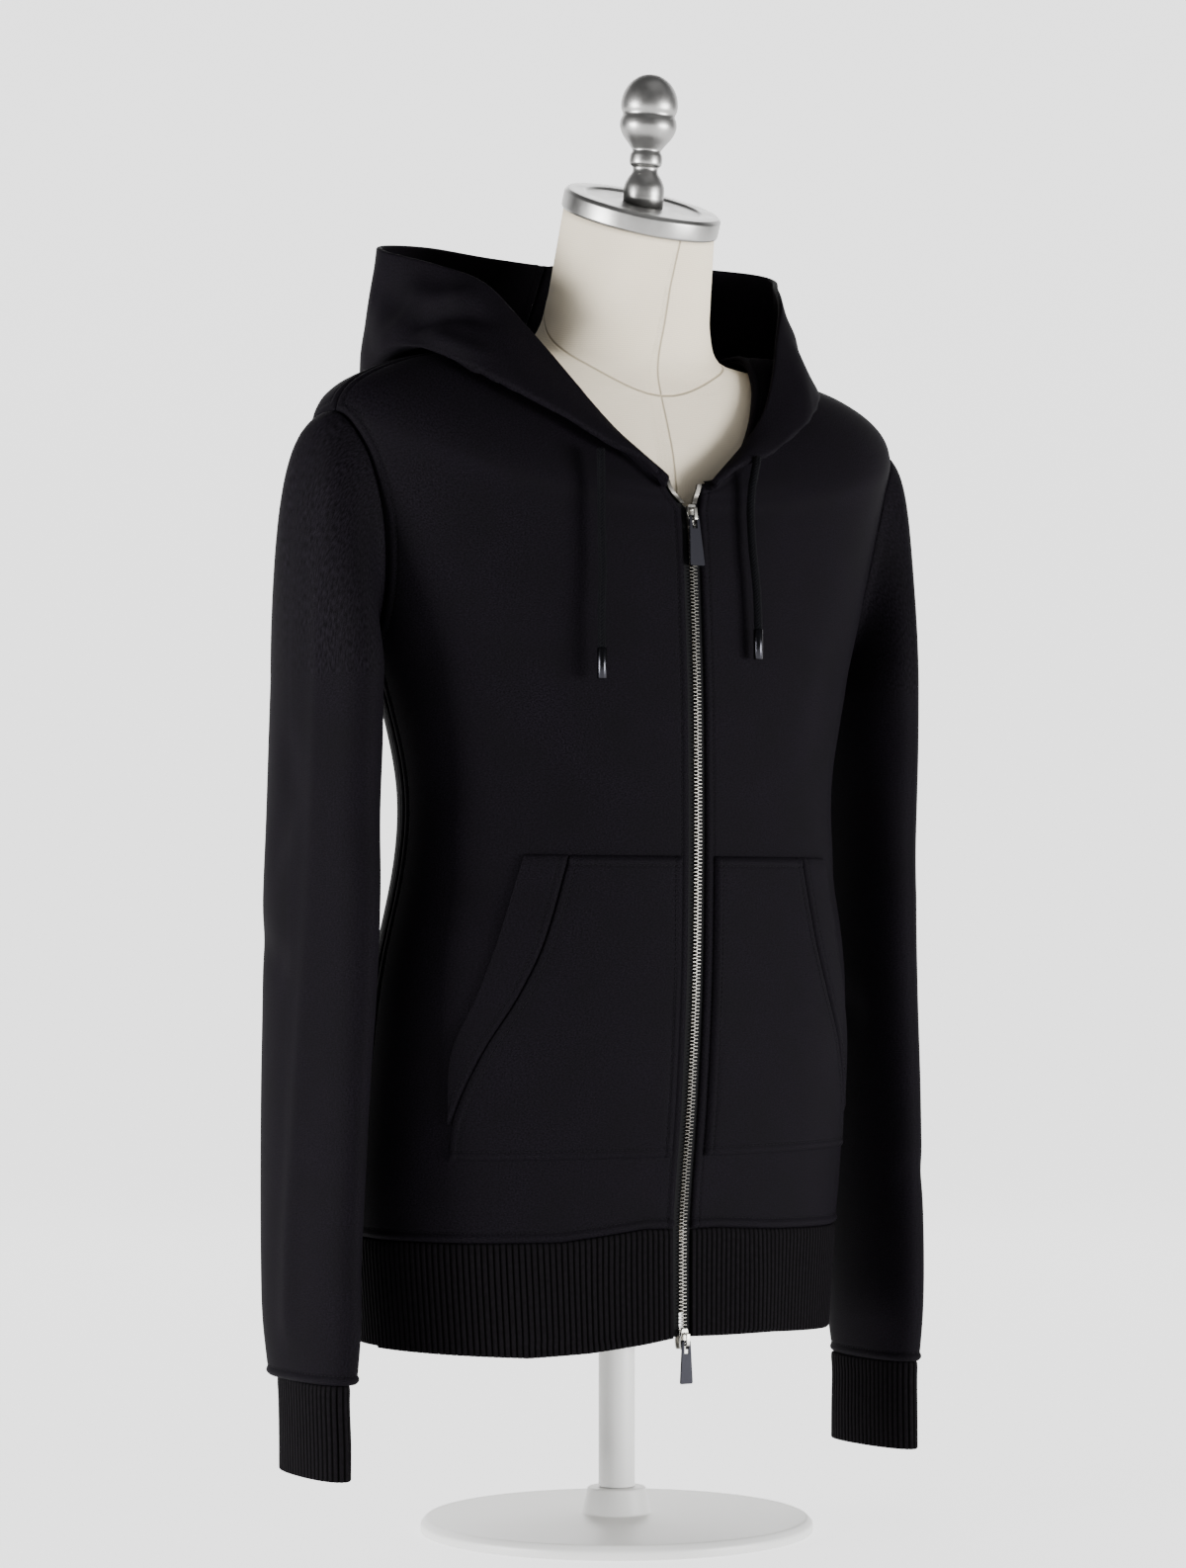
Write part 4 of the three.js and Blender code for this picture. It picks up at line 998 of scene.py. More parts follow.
for word, side in SIDES.items():
    axis = (side * ARM_AXIS[0], ARM_AXIS[1])
    turns = full_turn(SLEEVE_LINES)
    grid = np.concatenate([sleeve_head(side, turns, head_steps),
                           tube_rings(SLEEVE, arm_heights, turns, side, HANG[word])])
    normals, up, down = surveyed(grid, True, axis)
    lift = (seam_roll(up, roll=0.0003, dip=0.0) + seam_roll(down, 0.0012, CUFF_STITCH, 0.0006)
            + folds(grid, SLEEVE_FOLDS[word]))
    sleeve = wall_piece(f"sleeve_piece_{word}", grid, normals, np.minimum(up, down), lift, jersey,
                        closed=True)
    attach(sleeve, "sweater_and_form")
    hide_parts(f"sleeve_{word}")
    stitched(f"sleeve_{word}", sleeve, grid, normals, lift, [(down, CUFF_STITCH, True)])

    fine = np.linspace(0, 2 * math.pi, 721)
    round_run = run_length(tube_rings(CUFF, [CUFF_ROUND], fine, side, HANG[word])[0])
    girth = round_run[-1]
    ribs = round(girth / RIB_PITCH)
    places = np.arange(ribs * RIB_LINES) * girth / (ribs * RIB_LINES)
    grid = tube_rings(CUFF, cuff_heights, np.interp(places, round_run, fine), side, HANG[word])
    normals, up, down = surveyed(grid, True, axis)
    drawn = np.clip(up / RIB_DRAW, 0, 1)
    lift = rib_profile(places, girth / ribs) * (0.3 + 0.7 * drawn) + pressed(up, 0.0004)
    cuff = wall_piece(f"cuff_band_{word}", grid, normals, np.minimum(up, down), lift, rib_material,
                      thickness=RIB_WALL, closed=True, rounding=RIB_EDGE, cut=rib_cut(ribs, up))
    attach(cuff, "sweater_and_form")
    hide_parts(f"cuff_{word}")
    seam_heights = CUFF_TOP + np.array([0.005, 0.002, -0.002, -0.005])
    backing(f"cuff_allowance_{word}",
            tube_rings(CUFF_SEAM, seam_heights, full_turn(72), side, HANG[word]), cuff, closed=True)

# ---------------------------------------------------------------------------------------------
# Hood: two halves of the same jersey joined by a centre seam, thrown back on the shoulders. In
# front it rolls over to a point at the zip; behind it hangs as a pouch with its opening up.
# ---------------------------------------------------------------------------------------------
HOOD_CENTRE = 0.006           # from the centre seam to the stitches on each side of it
# The opening's edge is folded over a tape: how far from it the cloth is thicker, and by how much
HOOD_RIM = dict(width=0.010, rise=0.0010, thicker=0.0018, rounding=0.0016)
HOOD_START = 0.0024           # how far the hood's seam stands over the neck's edge
# Degrees, then millimetres: the angle where each section leaves the neck seam, then where it
# lies on the body, folds, comes back over and ends at the opening's edge
HOOD = ("neck x1 y1 z1 x2 y2 z2 x3 y3 z3 x4 y4 z4", [
    (5, 10, -92, 569, 11, -95.5, 569, 12, -97, 571, 11, -95.5, 573),
    (22, 34, -92, 585, 33, -95, 584, 40, -92, 591, 45, -84, 598),
    (42, 66, -80, 606, 64, -90, 595, 74, -83, 611, 72, -72, 626),
    (56, 90, -66, 630, 92, -82, 611, 101, -71, 632, 90, -57, 654),
    (68, 110, -50, 648, 120, -70, 626, 125, -56, 652, 104, -41, 678),
    (82, 130, -29, 667, 148, -46, 644, 141, -34, 669, 120, -23, 703),
    (100, 128, 14, 672, 164, 0, 661, 148, 6, 692, 138, 7, 718),
    (120, 120, 50, 668, 160, 48, 658, 161, 47, 694, 157, 40, 730),
    (138, 96, 84, 652, 138, 98, 622, 147, 86, 680, 146, 66, 739),
    (156, 62, 107, 634, 98, 129, 534, 106, 131, 645, 100, 82, 744),
    (170, 28, 117, 616, 50, 142, 492, 54, 156, 622, 50, 90, 743),
    (180, 0, 120, 612, 0, 145, 482, 0, 163, 614, 0, 93, 742)], [1] + [1000] * 12)
# The left half stands higher behind, and its fold lies closer in, by these millimetres
HOOD_LEFT = ("neck rise inwards", [
    (5, 0, 0), (56, 0, 2), (70, 2, 8), (84, 6, 11), (100, 9, 8), (125, 10, 2), (150, 6, 0),
    (180, 0, 0)], [1, 1000, 1000])
LEFT_SHARE = np.array([1.0, 0.9, 0.0])       # of a section's last three places, from the fold
FRONT_NECK = 45               # the front's flare is spread over the neck seam to this angle
hood_at, left_at = smooth_table(*HOOD), smooth_table(*HOOD_LEFT)


def hood_section(side, flare, neck, places):
    """One section of the hood's outside, at parts of its length, and that length."""
    aside = flare * max(1 - neck / FRONT_NECK, 0)
    start = torso(side * math.radians(neck), NECK_LEVEL) + np.array([side * aside, 0, HOOD_START])
    stops = np.array([curve(neck) for curve in hood_at.values()]).reshape(4, 3)
    stops = (stops + [aside, 0, HEM_HEIGHT]) * [side, 1, 1]
    if side > 0:
        stops[1:, 0] -= left_at["inwards"](neck) * LEFT_SHARE
        stops[1:, 2] += left_at["rise"](neck) * (1 - LEFT_SHARE) ** 2
    line = smooth_path([start, *stops], 0.0008)
    run = run_length(line)
    return points_at(line, run, places * run[-1]), run[-1]


HOOD_FOLDS = {
    "right": [
        (5.8, 8.5, [(-165, 19, 810), (-160, 4, 817), (-145, -13, 822), (-133, -29, 820),
                    (-123, -47, 808)]),
        (-5.5, 10, [(-155, 28, 845), (-152, 8, 838), (-146, -9, 832), (-135, -22, 834),
                    (-125, -31, 831)]),
        (3.6, 7, [(-166, 36, 804), (-165, 21, 806), (-162, -3, 804), (-156, -32, 793),
                  (-145, -52, 782)]),
        (-3.6, 7, [(-161, -8, 808), (-156, -20, 803), (-147, -42, 796), (-131, -60, 785)]),
        (2.8, 12, [(-155, 60, 850), (-158, 36, 840), (-160, 15, 822)]),
        (-2.2, 18, [(-120, 110, 790), (-140, 88, 800), (-158, 50, 812)]),
        (2.5, 20, [(-95, 128, 700), (-85, 140, 660), (-55, 148, 640)])],
    "left": [
        (3.0, 9, [(160, 40, 806), (160, 6, 806), (148, -36, 784)]),
        (-3.2, 12, [(150, 20, 840), (140, -15, 832), (128, -36, 820)]),
        (-2.0, 18, [(125, 108, 800), (142, 85, 812), (156, 50, 822)]),
        (2.2, 20, [(95, 128, 710), (80, 142, 665), (50, 149, 645)]),
        (-1.6, 22, [(60, 140, 740), (30, 156, 715), (2, 160, 705)])],
}
hood_necks = np.concatenate([5 + np.array([0, 0.1, 0.4, 0.9, 1.6]), np.arange(7.6, 176, 1.35),
                             180 - np.array([4.4, 3.7, 3.0, 2.4, 1.8, 1.2, 0.6, 0.2, 0])])
hood_places = np.concatenate([[0, 0.0012, 0.004, 0.008, 0.014, 0.022, 0.032, 0.042],
                              np.linspace(0.054, 0.84, 50), np.linspace(0.855, 0.99, 16),
                              [0.994, 0.9975, 1]])
for word, side in SIDES.items():
    sections = [hood_section(side, FLARE[word], neck, hood_places) for neck in hood_necks]
    grid, lengths = (np.array(column) for column in zip(*sections))
    normals = grid_normals(grid) * side
    from_neck = hood_places * lengths[:, None]
    from_rim = from_neck[:, -1:] - from_neck
    from_front = run_length(grid)
    from_centre = from_front[-1:] - from_front
    rim = np.exp(-(from_rim / HOOD_RIM["width"]) ** 2)
    lift = (seam_roll(from_neck, 0.0006, 0.0065) + folds(grid, HOOD_FOLDS[word])
            + seam_roll(from_centre, 0.0006, HOOD_CENTRE, 0.0007) + HOOD_RIM["rise"] * rim)
    hood = wall_piece(f"hood_half_{word}", grid, normals,
                      np.min([from_front, from_centre, from_neck, from_rim], 0), lift, jersey,
                      thickness=CLOTH + HOOD_RIM["thicker"] * rim,
                      rounding=HOOD_RIM["rounding"])
    for vertex in hood.data.vertices:
        if vertex.co.x * side < SEAM_GAP / 2:
            vertex.co.x = side * SEAM_GAP / 2
    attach(hood, "sweater_and_form")
    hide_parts(f"hood_{word}")
    stitched(f"hood_{word}", hood, grid, normals, lift, [
        (from_neck, SEAM_STITCH, False), (from_centre, HOOD_CENTRE, True)])

# ---------------------------------------------------------------------------------------------
# Pockets: a patch of the jersey on each front, topstitched round, with a folded band of the same
# cloth along its slanted opening. The bands' outer edges are left open for the hand.
# ---------------------------------------------------------------------------------------------
POCKET_BOTTOM = 0.121
POCKET_TOP = 0.322
POCKET_INNER = 0.013
POCKET_OUT = 0.001 + CLOTH    # how far the patch's outside stands off the front's
WELT_START = 0.145
INNER_STITCH, SLANT_STITCH, ROUND_STITCH, WELT_STITCH = 0.0060, 0.0062, 0.0065, 0.0055
# Millimetres: how far the welt's seam and its open edge are from the centre line at each level
POCKET = ("level seam edge", [(121, 159, 160), (150, 157, 160), (193, 143, 159),
                              (230, 124, 147), (265, 109, 136), (322, 93, 120)])
pocket_at = smooth_table(*POCKET)


def laid_grid(levels, edges, side, out):
    """A grid some way out from the garment, and each point's distance from its two side edges."""
    angles, run = surface_rows(levels, edges, side, 160)
    steps, widest = SEAM_STEPS[:13], run[:, -1].max()
    if widest > 2.6 * steps[-1]:
        places = stepped(widest, steps, 0.004)
    else:
        places = np.linspace(0, widest, max(7, round(widest / 0.0012)))
    at = places / places[-1] * run[:, -1:]
    angle = np.array([np.interp(*row) for row in zip(at, run, angles)])
    return torso_out(side * angle, levels[:, None], out), at, run[:, -1:] - at


def seam_and_edge(level):
    """The angles of a welt's seam and of its open edge at a level."""
    return [angle_at(pocket_at[name](level), level) for name in ("seam", "edge")]


pocket_levels = levels_between(POCKET_BOTTOM, POCKET_TOP,
                               [(POCKET_BOTTOM, 0.009), (POCKET_TOP, 0.009)])
welt_levels = levels_between(WELT_START, POCKET_TOP, [(WELT_START, 0.004), (POCKET_TOP, 0.004)])
for word, side in SIDES.items():
    grid, near_zip, _ = laid_grid(
        pocket_levels, lambda level: (angle_at(POCKET_INNER, level), seam_and_edge(level)[0]),
        side, POCKET_OUT)
    normals, up, down = surveyed(grid)
    slanted = line_distance(grid, grid[:, -1])[0]
    edge = np.min([near_zip, slanted, up, down], 0)
    lift = (seam_roll(near_zip, 0.0004, INNER_STITCH) + seam_roll(slanted, 0.0005, SLANT_STITCH)
            + seam_roll(up, 0.0005, ROUND_STITCH) + seam_roll(down, 0.0005, ROUND_STITCH)
            + pressed(edge, 0.0011))
    pocket = wall_piece(f"pocket_patch_{word}", grid, normals, edge, lift, jersey)
    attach(pocket, "sweater_and_form")
    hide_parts(f"pocket_{word}")
    stitched(f"pocket_{word}", pocket, grid, normals, lift, [
        (near_zip, INNER_STITCH, False), (slanted, SLANT_STITCH, False),
        (up, ROUND_STITCH, True), (down, ROUND_STITCH, True)])

    grid, near_seam, near_open = laid_grid(
        welt_levels, lambda level: seam_and_edge(level) + np.array([[2], [0]]) * edge_gap(level),
        side, POCKET_OUT)
    normals, up, down = surveyed(grid)
    lift = (seam_roll(near_seam, 0.0005, WELT_STITCH) + pressed(near_seam, 0.0008)
            + pressed(np.minimum(up, down), 0.0008))
    welt = wall_piece(f"pocket_band_{word}", grid, normals,
                      np.min([near_seam, near_open, up, down], 0), lift, jersey)
    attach(welt, "sweater_and_form")
    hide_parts(f"pocket_welt_{word}")
    stitched(f"pocket_band_{word}", welt, grid, normals, lift, [(near_seam, WELT_STITCH, False)])

# ---------------------------------------------------------------------------------------------
# Zip: a number 5 metal chain of nickel teeth clamped to woven black tapes, sewn in behind the
# fronts' folded edges. Between the sliders it is closed; above, each side follows its own front.
# ---------------------------------------------------------------------------------------------
ZIP_BOTTOM = 0.0006
ZIP_TOP = 0.574
ZIP_OPEN = 0.612
TAPE = dict(inner=0.0017, spread=0.0026, outer=0.014, depth=0.0026, thick=0.0008)
TOOTH = dict(pitch=0.0024, depth=0.0022, thick=0.0020, bevel=0.00018, reach=0.001)
# Half of a tooth's outline in its own plane: along the tooth from its tip, and half its height
TOOTH_OUTLINE = [(-0.0005, 0.0002), (-0.00025, 0.0004), (0.0009, 0.0004), (0.0013, 0.00030),
                 (0.0029, 0.00030), (0.0032, 0.00022)]


def zip_tape(tree):
    """Plain-woven polyester tape, black, with fine ribs along it."""
    warp = add_node(tree, "TexWave", {"Vector": cloth_place(tree), "Scale": 320.0,
                                      "Distortion": 0.4}).outputs["Fac"]
    return {"Base Color": blend(tree, warp, "#060607", "#0c0c0e"), "Roughness": 0.75,
            "Specular IOR Level": 0.1, "Normal": bump(tree, warp, 0.0001, 0.6)}


def plated(name, colour, smoothest, roughest):
    """Plated metal, a little unevenly polished."""
    def paint(tree):
        """The plating's wear."""
        wear = noise(tree, solid_place(tree), 700.0, 4.0)
        return {"Base Color": linear(colour), "Metallic": 1.0,
                "Roughness": ranged(tree, wear, after=(smoothest, roughest)),
                "Normal": bump(tree, wear, 0.00004, 0.2)}
    return new_material(name, paint)


tape_material = new_material("woven_zip_tape", zip_tape)
# The teeth take a darker copy of the sliders' nickel plate: painted shade for the shade among the
# chain's teeth.
shaded_tooth_nickel = plated("nickel_teeth_painted_shade", "#5a5854", 0.24, 0.38)
nickel = plated("nickel_plate", "#96948f", 0.24, 0.40)


def tooth_places(low, high, shift):
    """Levels of one side's teeth, pitch by pitch."""
    pitch = TOOTH["pitch"]
    return np.arange(low + pitch * (0.5 + shift), high - pitch * 0.4, pitch)


def teeth(levels, side, edge_x):
    """Teeth at the levels, each with its tip edge_x from the centre line, reaching outwards."""
    upper = np.array(TOOTH_OUTLINE)
    outline = np.concatenate([upper, upper[::-1] * [1, -1]])
    worn = outline * [0.88, 0.66] + [0.00012, 0]
    front = TOOTH["thick"] - TOOTH["depth"]
    rings = [(worn, front), (outline, front - 2 * TOOTH["bevel"]), (outline, -TOOTH["depth"])]
    parts = []
    for level in levels:
        middle = angle_at(max(edge_x(level) + TOOTH["reach"], TOOTH["reach"]), level) * side
        across, up = torso_ways(middle, level)
        across = across * side
        base = torso(middle, level) - across * TOOTH["reach"]
        parts.append(capped(np.array([
            base + ring[:, :1] * across + ring[:, 1:] * up + np.cross(across, up) * side * height
            for ring, height in rings])))
    return joined(parts)


tape_levels = np.concatenate([[0], np.arange(0.004, NECK_LEVEL - 0.002, 0.004), [NECK_LEVEL]])
for word, side in SIDES.items():
    aside = lambda level: zip_flare(FLARE[word], level)
    opened = lambda level: np.clip((level - ZIP_OPEN) / (NECK_LEVEL - ZIP_OPEN), 0, 1)
    tape_inner = lambda level: TAPE["inner"] + aside(level) + TAPE["spread"] * opened(level)
    tape_span = lambda level: (angle_at(tape_inner(level), level),
                               angle_at(TAPE["outer"] + aside(level), level))
    grid = laid_grid(tape_levels, tape_span, side, -TAPE["depth"])[0]
    flat = np.zeros(grid.shape[:2])
    tape = wall_piece(f"tape_{word}", grid, surveyed(grid)[0], flat + 1.0, flat, tape_material,
                      thickness=TAPE["thick"])
    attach(tape, "sweater_and_form")
    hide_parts(f"zip_tape_{word}")

    open_teeth = teeth(tooth_places(ZIP_OPEN, NECK_LEVEL, 0), side,
                       lambda level: tape_inner(level) - 0.0005)
    row = make_mesh(f"open_teeth_{word}", *open_teeth, shaded_tooth_nickel, smooth=False)
    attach(row, "sweater_and_form")
    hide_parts(f"zip_row_{word}")

closed_teeth = joined([teeth(tooth_places(ZIP_BOTTOM, ZIP_TOP, shift), side, lambda level: 0.0)
                       for shift, side in ((0, -1), (0.5, 1))])
chain = make_mesh("closed_chain", *closed_teeth, shaded_tooth_nickel, smooth=False)
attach(chain, "sweater_and_form")
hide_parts("zip_chain")

# ---------------------------------------------------------------------------------------------
# Sliders: die-cast bodies, nickel plated: two plates round a neck, with an arch that holds the
# pull. Pulls: flat stamped tabs with a dark matt plating, bare faced, swinging on the arch.
# ---------------------------------------------------------------------------------------------
SLIDER = dict(width=0.0086, length=0.014, plate=0.0018, back_depth=0.0038, back_plate=0.0012,
              neck=0.0024, neck_length=0.003, sunk=0.0004, face=0.00015, soft=0.00035)
BRIDGE = dict(width=0.0026, length=0.009, height=0.0044, bar=0.0013, leg=0.0015, sunk=0.0003,
              outer_bend=0.0012, inner_bend=0.0004, pull_at=0.0014)
TABS = {"top": dict(length=0.034, narrow=0.0077, wide=0.0116),
        "bottom": dict(length=0.029, narrow=0.0066, wide=0.0098)}
TAB = dict(thick=0.0015, bar=0.0015, slot=0.008, slot_width=0.0034, corner=0.0012, soft=0.0003)
PLACES = {"top": dict(level=0.577, drop=0.0, turned=False),
          "bottom": dict(level=0.0, drop=0.0015, turned=True)}
BEND_ANGLE = math.radians(35)                # edges sharper than this are rounded


def bent_corner(start, corner, end, steps=5):
    """A quadratic curve from start to end, pulled to the corner."""
    t = np.linspace(0, 1, steps)[:, None]
    a, b, c = (np.array(p, float) for p in (start, corner, end))
    return ((1 - t) ** 2 * a + 2 * t * (1 - t) * b + t * t * c).tolist()


def mirrored(right):
    """A whole outline from its right half, top to bottom or bottom to top."""
    return [*right, *((-x, z) for x, z in right[::-1])]


def plate_outline():
    """The outline of a slider's plate: narrow below and widest towards its rounded top."""
    half, end = SLIDER["width"] / 2, SLIDER["length"] / 2
    waist = (half * 0.8, -end * 0.2)
    shoulder = bent_corner(waist, (half, end * 0.6), (half * 0.6, end), 9)
    return mirrored([(half * 0.55, -end), waist, *shoulder[1:]])


def plate_solid(outline, near_y, far_y):
    """A flat plate with an outline in its x-z plane, between two depths."""
    return capped(np.array([[(x, y, z) for x, z in outline] for y in (near_y, far_y)]))


def arch_solid():
    """The slider's arch: a flat bar with two legs, standing on the front plate."""
    half, inner = BRIDGE["length"] / 2, BRIDGE["length"] / 2 - BRIDGE["leg"]
    outer_bend, inner_bend = BRIDGE["outer_bend"], BRIDGE["inner_bend"]
    plate = -SLIDER["face"] - SLIDER["plate"]
    foot, top = plate + BRIDGE["sunk"], plate - BRIDGE["height"]
    under = top + BRIDGE["bar"]
    side_view = [
        (foot, half), (top + outer_bend, half),
        *bent_corner((top + outer_bend, half), (top, half), (top, half - outer_bend))[1:],
        (top, -half + outer_bend),
        *bent_corner((top, -half + outer_bend), (top, -half), (top + outer_bend, -half))[1:],
        (foot, -half), (foot, -inner), (under + inner_bend, -inner), (under, -inner + inner_bend),
        (under, inner - inner_bend), (under + inner_bend, inner), (foot, inner)]
    return capped(np.array([[(x, y, z) for y, z in side_view]
                            for x in (-BRIDGE["width"] / 2, BRIDGE["width"] / 2)]))


def soften(made, width):
    """Rounds a hard piece's edges."""
    face_outwards(made)
    bevel = made.modifiers.new("soft_edges", "BEVEL")
    bevel.width = width
    bevel.segments = 2
    bevel.limit_method = "ANGLE"
    bevel.angle_limit = BEND_ANGLE
    bevel.harden_normals = True


dark_plate = plated("dark_matt_plate", "#232327", 0.44, 0.54)
for word, place in PLACES.items():
    level = place["level"]
    low, here, high = (torso(0.0, at) for at in (max(level - 0.010, 0), level, level + 0.010))
    lean = -math.atan2(high[1] - low[1], high[2] - low[2])
    origin = np.array([0, here[1], here[2] - place["drop"]])
    face, back = -SLIDER["face"], SLIDER["back_depth"]
    sunk = SLIDER["sunk"]
    neck_top = SLIDER["length"] / 2 - sunk
    neck_low, neck_half = neck_top - SLIDER["neck_length"], SLIDER["neck"] / 2
    neck = [(-neck_half, neck_low), (neck_half, neck_low), (neck_half, neck_top),
            (-neck_half, neck_top)]
    body = joined([plate_solid(plate_outline(), face - SLIDER["plate"], face),
                   plate_solid(plate_outline(), back, back + SLIDER["back_plate"]),
                   plate_solid(neck, face - sunk, back + sunk), arch_solid()])
    slider = make_mesh(f"slider_{word}", *body, nickel)
    soften(slider, SLIDER["soft"])
    if place["turned"]:
        slider.data.transform(Matrix.Rotation(math.pi, 4, "Y"))
    slider.rotation_euler = (lean, 0, 0)
    slider.location = origin
    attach(slider, "sweater_and_form")
    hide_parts(f"zip_slider_{word}")

    axis_out = -face + SLIDER["plate"] + (BRIDGE["height"] - BRIDGE["bar"]) / 2
    axis_drop = BRIDGE["length"] / 2 - BRIDGE["leg"] - BRIDGE["pull_at"]
    size, corner, bar = TABS[word], TAB["corner"], TAB["bar"] / 2
    bottom, narrow, wide = bar - size["length"], size["narrow"] / 2, size["wide"] / 2
    outline = mirrored([
        *bent_corner((narrow - corner, bar), (narrow, bar), (narrow, bar - corner)),
        *bent_corner((wide, bottom + corner), (wide, bottom), (wide - corner, bottom))])
    hole = mirrored([(TAB["slot_width"] / 2, -bar), (TAB["slot_width"] / 2, -TAB["slot"])])
    tab = make_mesh(f"tab_{word}", *plate_solid(outline, -TAB["thick"] / 2, TAB["thick"] / 2),
                    dark_plate)
    cutter = make_mesh(f"tab_slot_{word}", *plate_solid(hole, -TAB["thick"], TAB["thick"]),
                       dark_plate)
    for piece in (tab, cutter):
        face_outwards(piece)
    cutting = tab.modifiers.new("slot", "BOOLEAN")
    cutting.object = cutter
    cutting.operation = "DIFFERENCE"
    bpy.context.view_layer.update()
    cut_tab = tab.evaluated_get(bpy.context.evaluated_depsgraph_get())
    cut_mesh = bpy.data.meshes.new_from_object(cut_tab)
    tab.modifiers.clear()
    tab.data = cut_mesh
    bpy.data.objects.remove(cutter)
    soften(tab, TAB["soft"])
    tab.rotation_euler = (lean, 0, 0)
    cos_lean, sin_lean = math.cos(lean), math.sin(lean)
    tab.location = origin - [0, cos_lean * axis_out - sin_lean * axis_drop,
                             sin_lean * axis_out + cos_lean * axis_drop]
    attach(tab, f"{word}_tab")
    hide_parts(f"pull_tab_{word}")

# ---------------------------------------------------------------------------------------------
# Form: a limbless tailor's torso of padded papier mache under unbleached linen, with a seam
# round the neck's base and one down the centre, front and back.
# ---------------------------------------------------------------------------------------------
FORM_COLUMNS = 112
NECK_ROWS = 12
# Millimetres at each height over the hem: half width, depth before and behind the middle, and
# how far the sides are raised
FORM = ("z side front back rise", [
    (62, 150, 62, 108, 0), (70, 158, 66, 114, 0), (160, 160, 74, 104, 0), (240, 152, 80, 90, 0),
    (330, 142, 84, 80, 0), (430, 152, 84, 88, 0), (500, 168, 80, 94, 0), (550, 182, 76, 92, 2),
    (590, 186, 70, 88, 10.4), (615, 174, 62, 82, 18.4), (634, 148, 55, 74, 19.4),
    (648, 108, 51, 63, 14.4), (662, 76, 52, 52, 3), (682, 61, 59, 41, 0), (706, 56, 66, 34, 0)])
NECK_TOP = dict(y=-0.028, z=0.755, side=0.052, deep=0.054, tilt=22)
NECK_SEAM = dict(level=0.686, dip=0.052)     # the neck's seam, which dips in front
SEAM_HALF = 0.0013


def linen(tree):
    """Unbleached linen in plain weave, drawn about twice as coarse as real: warm grey-cream
    slubby yarns, darkened along the seams."""
    cloth = cloth_place(tree)
    beside = add_node(tree, "SeparateXYZ", {"Vector": cloth_place(tree, "seams")}).outputs
    grooves = [ranged(tree, maths(tree, "ABSOLUTE", beside[axis]), (0.0, SEAM_HALF),
                      kind="SMOOTHSTEP") for axis in "XY"]
    seam = maths(tree, "MINIMUM", *grooves)
    warp, weft = (add_node(tree, "TexWave", {"Vector": cloth, "Scale": scale, "Distortion": 1.2,
                                             "Detail": 2.0}, bands_direction=way).outputs["Fac"]
                  for way, scale in (("X", 260.0), ("Y", 240.0)))
    weave = maths(tree, "MULTIPLY", warp, weft)
    yarn = blend(tree, noise(tree, cloth, 90.0, 4.0), "#e3d6bf", "#f0e6d2")
    woven = blend(tree, weave, "#d6c9b0", yarn)
    soiled = blend(tree, noise(tree, cloth, 8.0), woven, "#e9ddc7")
    height = maths(tree, "MULTIPLY_ADD", weave, 0.12, seam)
    return {"Base Color": blend(tree, seam, "#a89b84", soiled), "Roughness": 0.85,
            "Specular IOR Level": 0.3, "Normal": bump(tree, height, 0.0009, 0.8)}


form_at = smooth_table(*FORM)
turns = full_turn(FORM_COLUMNS)
heights = np.concatenate([[0.062, 0.0622, 0.0628, 0.064, 0.067, 0.070],
                          np.arange(0.078, 0.64, 0.009), np.arange(0.642, 0.7061, 0.004)])[:, None]
depth_front, depth_back = form_at["front"](heights), form_at["back"](heights)
rings = np.stack([
    form_at["side"](heights) * rounded(np.sin(turns)),
    (depth_back - depth_front) / 2 - (depth_back + depth_front) / 2 * rounded(np.cos(turns)),
    heights + form_at["rise"](heights) * np.sin(turns) ** 2 + HEM_HEIGHT], -1)
slope = math.radians(NECK_TOP["tilt"])
neck_back = -NECK_TOP["deep"] * np.cos(turns)
neck_ring = np.stack([NECK_TOP["side"] * np.sin(turns),
                      NECK_TOP["y"] + neck_back * math.cos(slope),
                      NECK_TOP["z"] + neck_back * math.sin(slope) + HEM_HEIGHT], -1)
neck_steps = np.linspace(0, 1, NECK_ROWS)[1:, None, None]
form_grid = np.concatenate([rings, rings[-1] + (neck_ring - rings[-1]) * neck_steps])
ends = np.array([rings[0].mean(0), neck_ring.mean(0)])
form_points = np.concatenate([form_grid.reshape(-1, 3), ends])
form_faces = grid_faces(len(form_grid), FORM_COLUMNS, closed=True).tolist()
last, end = (len(form_grid) - 1) * FORM_COLUMNS, len(form_points)
for j in range(FORM_COLUMNS):
    k = (j + 1) % FORM_COLUMNS
    form_faces += [[end - 2, k, j], [end - 1, last + j, last + k]]
girth_run = run_length(form_grid, 1)
girth_run = girth_run - girth_run[:, FORM_COLUMNS // 2:FORM_COLUMNS // 2 + 1]
form_cut = np.stack([girth_run, form_grid[..., 2]], -1).reshape(-1, 2)
form = make_mesh("tailors_form", form_points, form_faces, new_material("unbleached_linen", linen),
                 cut=np.concatenate([form_cut, ends[:, 2:] * [0, 1]]))
face_outwards(form)
x, y, z = form_points.T
neck_line = HEM_HEIGHT + NECK_SEAM["level"] - NECK_SEAM["dip"] * np.cos(np.arctan2(x, -y))
give_layer(form.data, "seams", np.stack([z - neck_line, x], -1))
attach(form, "sweater_and_form")
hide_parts("form_torso")

# ---------------------------------------------------------------------------------------------
# Neck cap and knob: aluminium castings, turned and polished. The cap is a shallow dish with a
# raised rim, screwed on the sloping neck, and the knob stands almost upright in it.
# ---------------------------------------------------------------------------------------------
CAP = dict(side=0.054, deep=0.056, height=0.014, recess=0.039, recess_depth=0.0014, gap=0.0003)
KNOB_TILT = math.radians(7)
KNOB_SIDES = 80
KNOB_STEP = 0.0002            # each ring is at least this far over the sloping foot, ring by ring
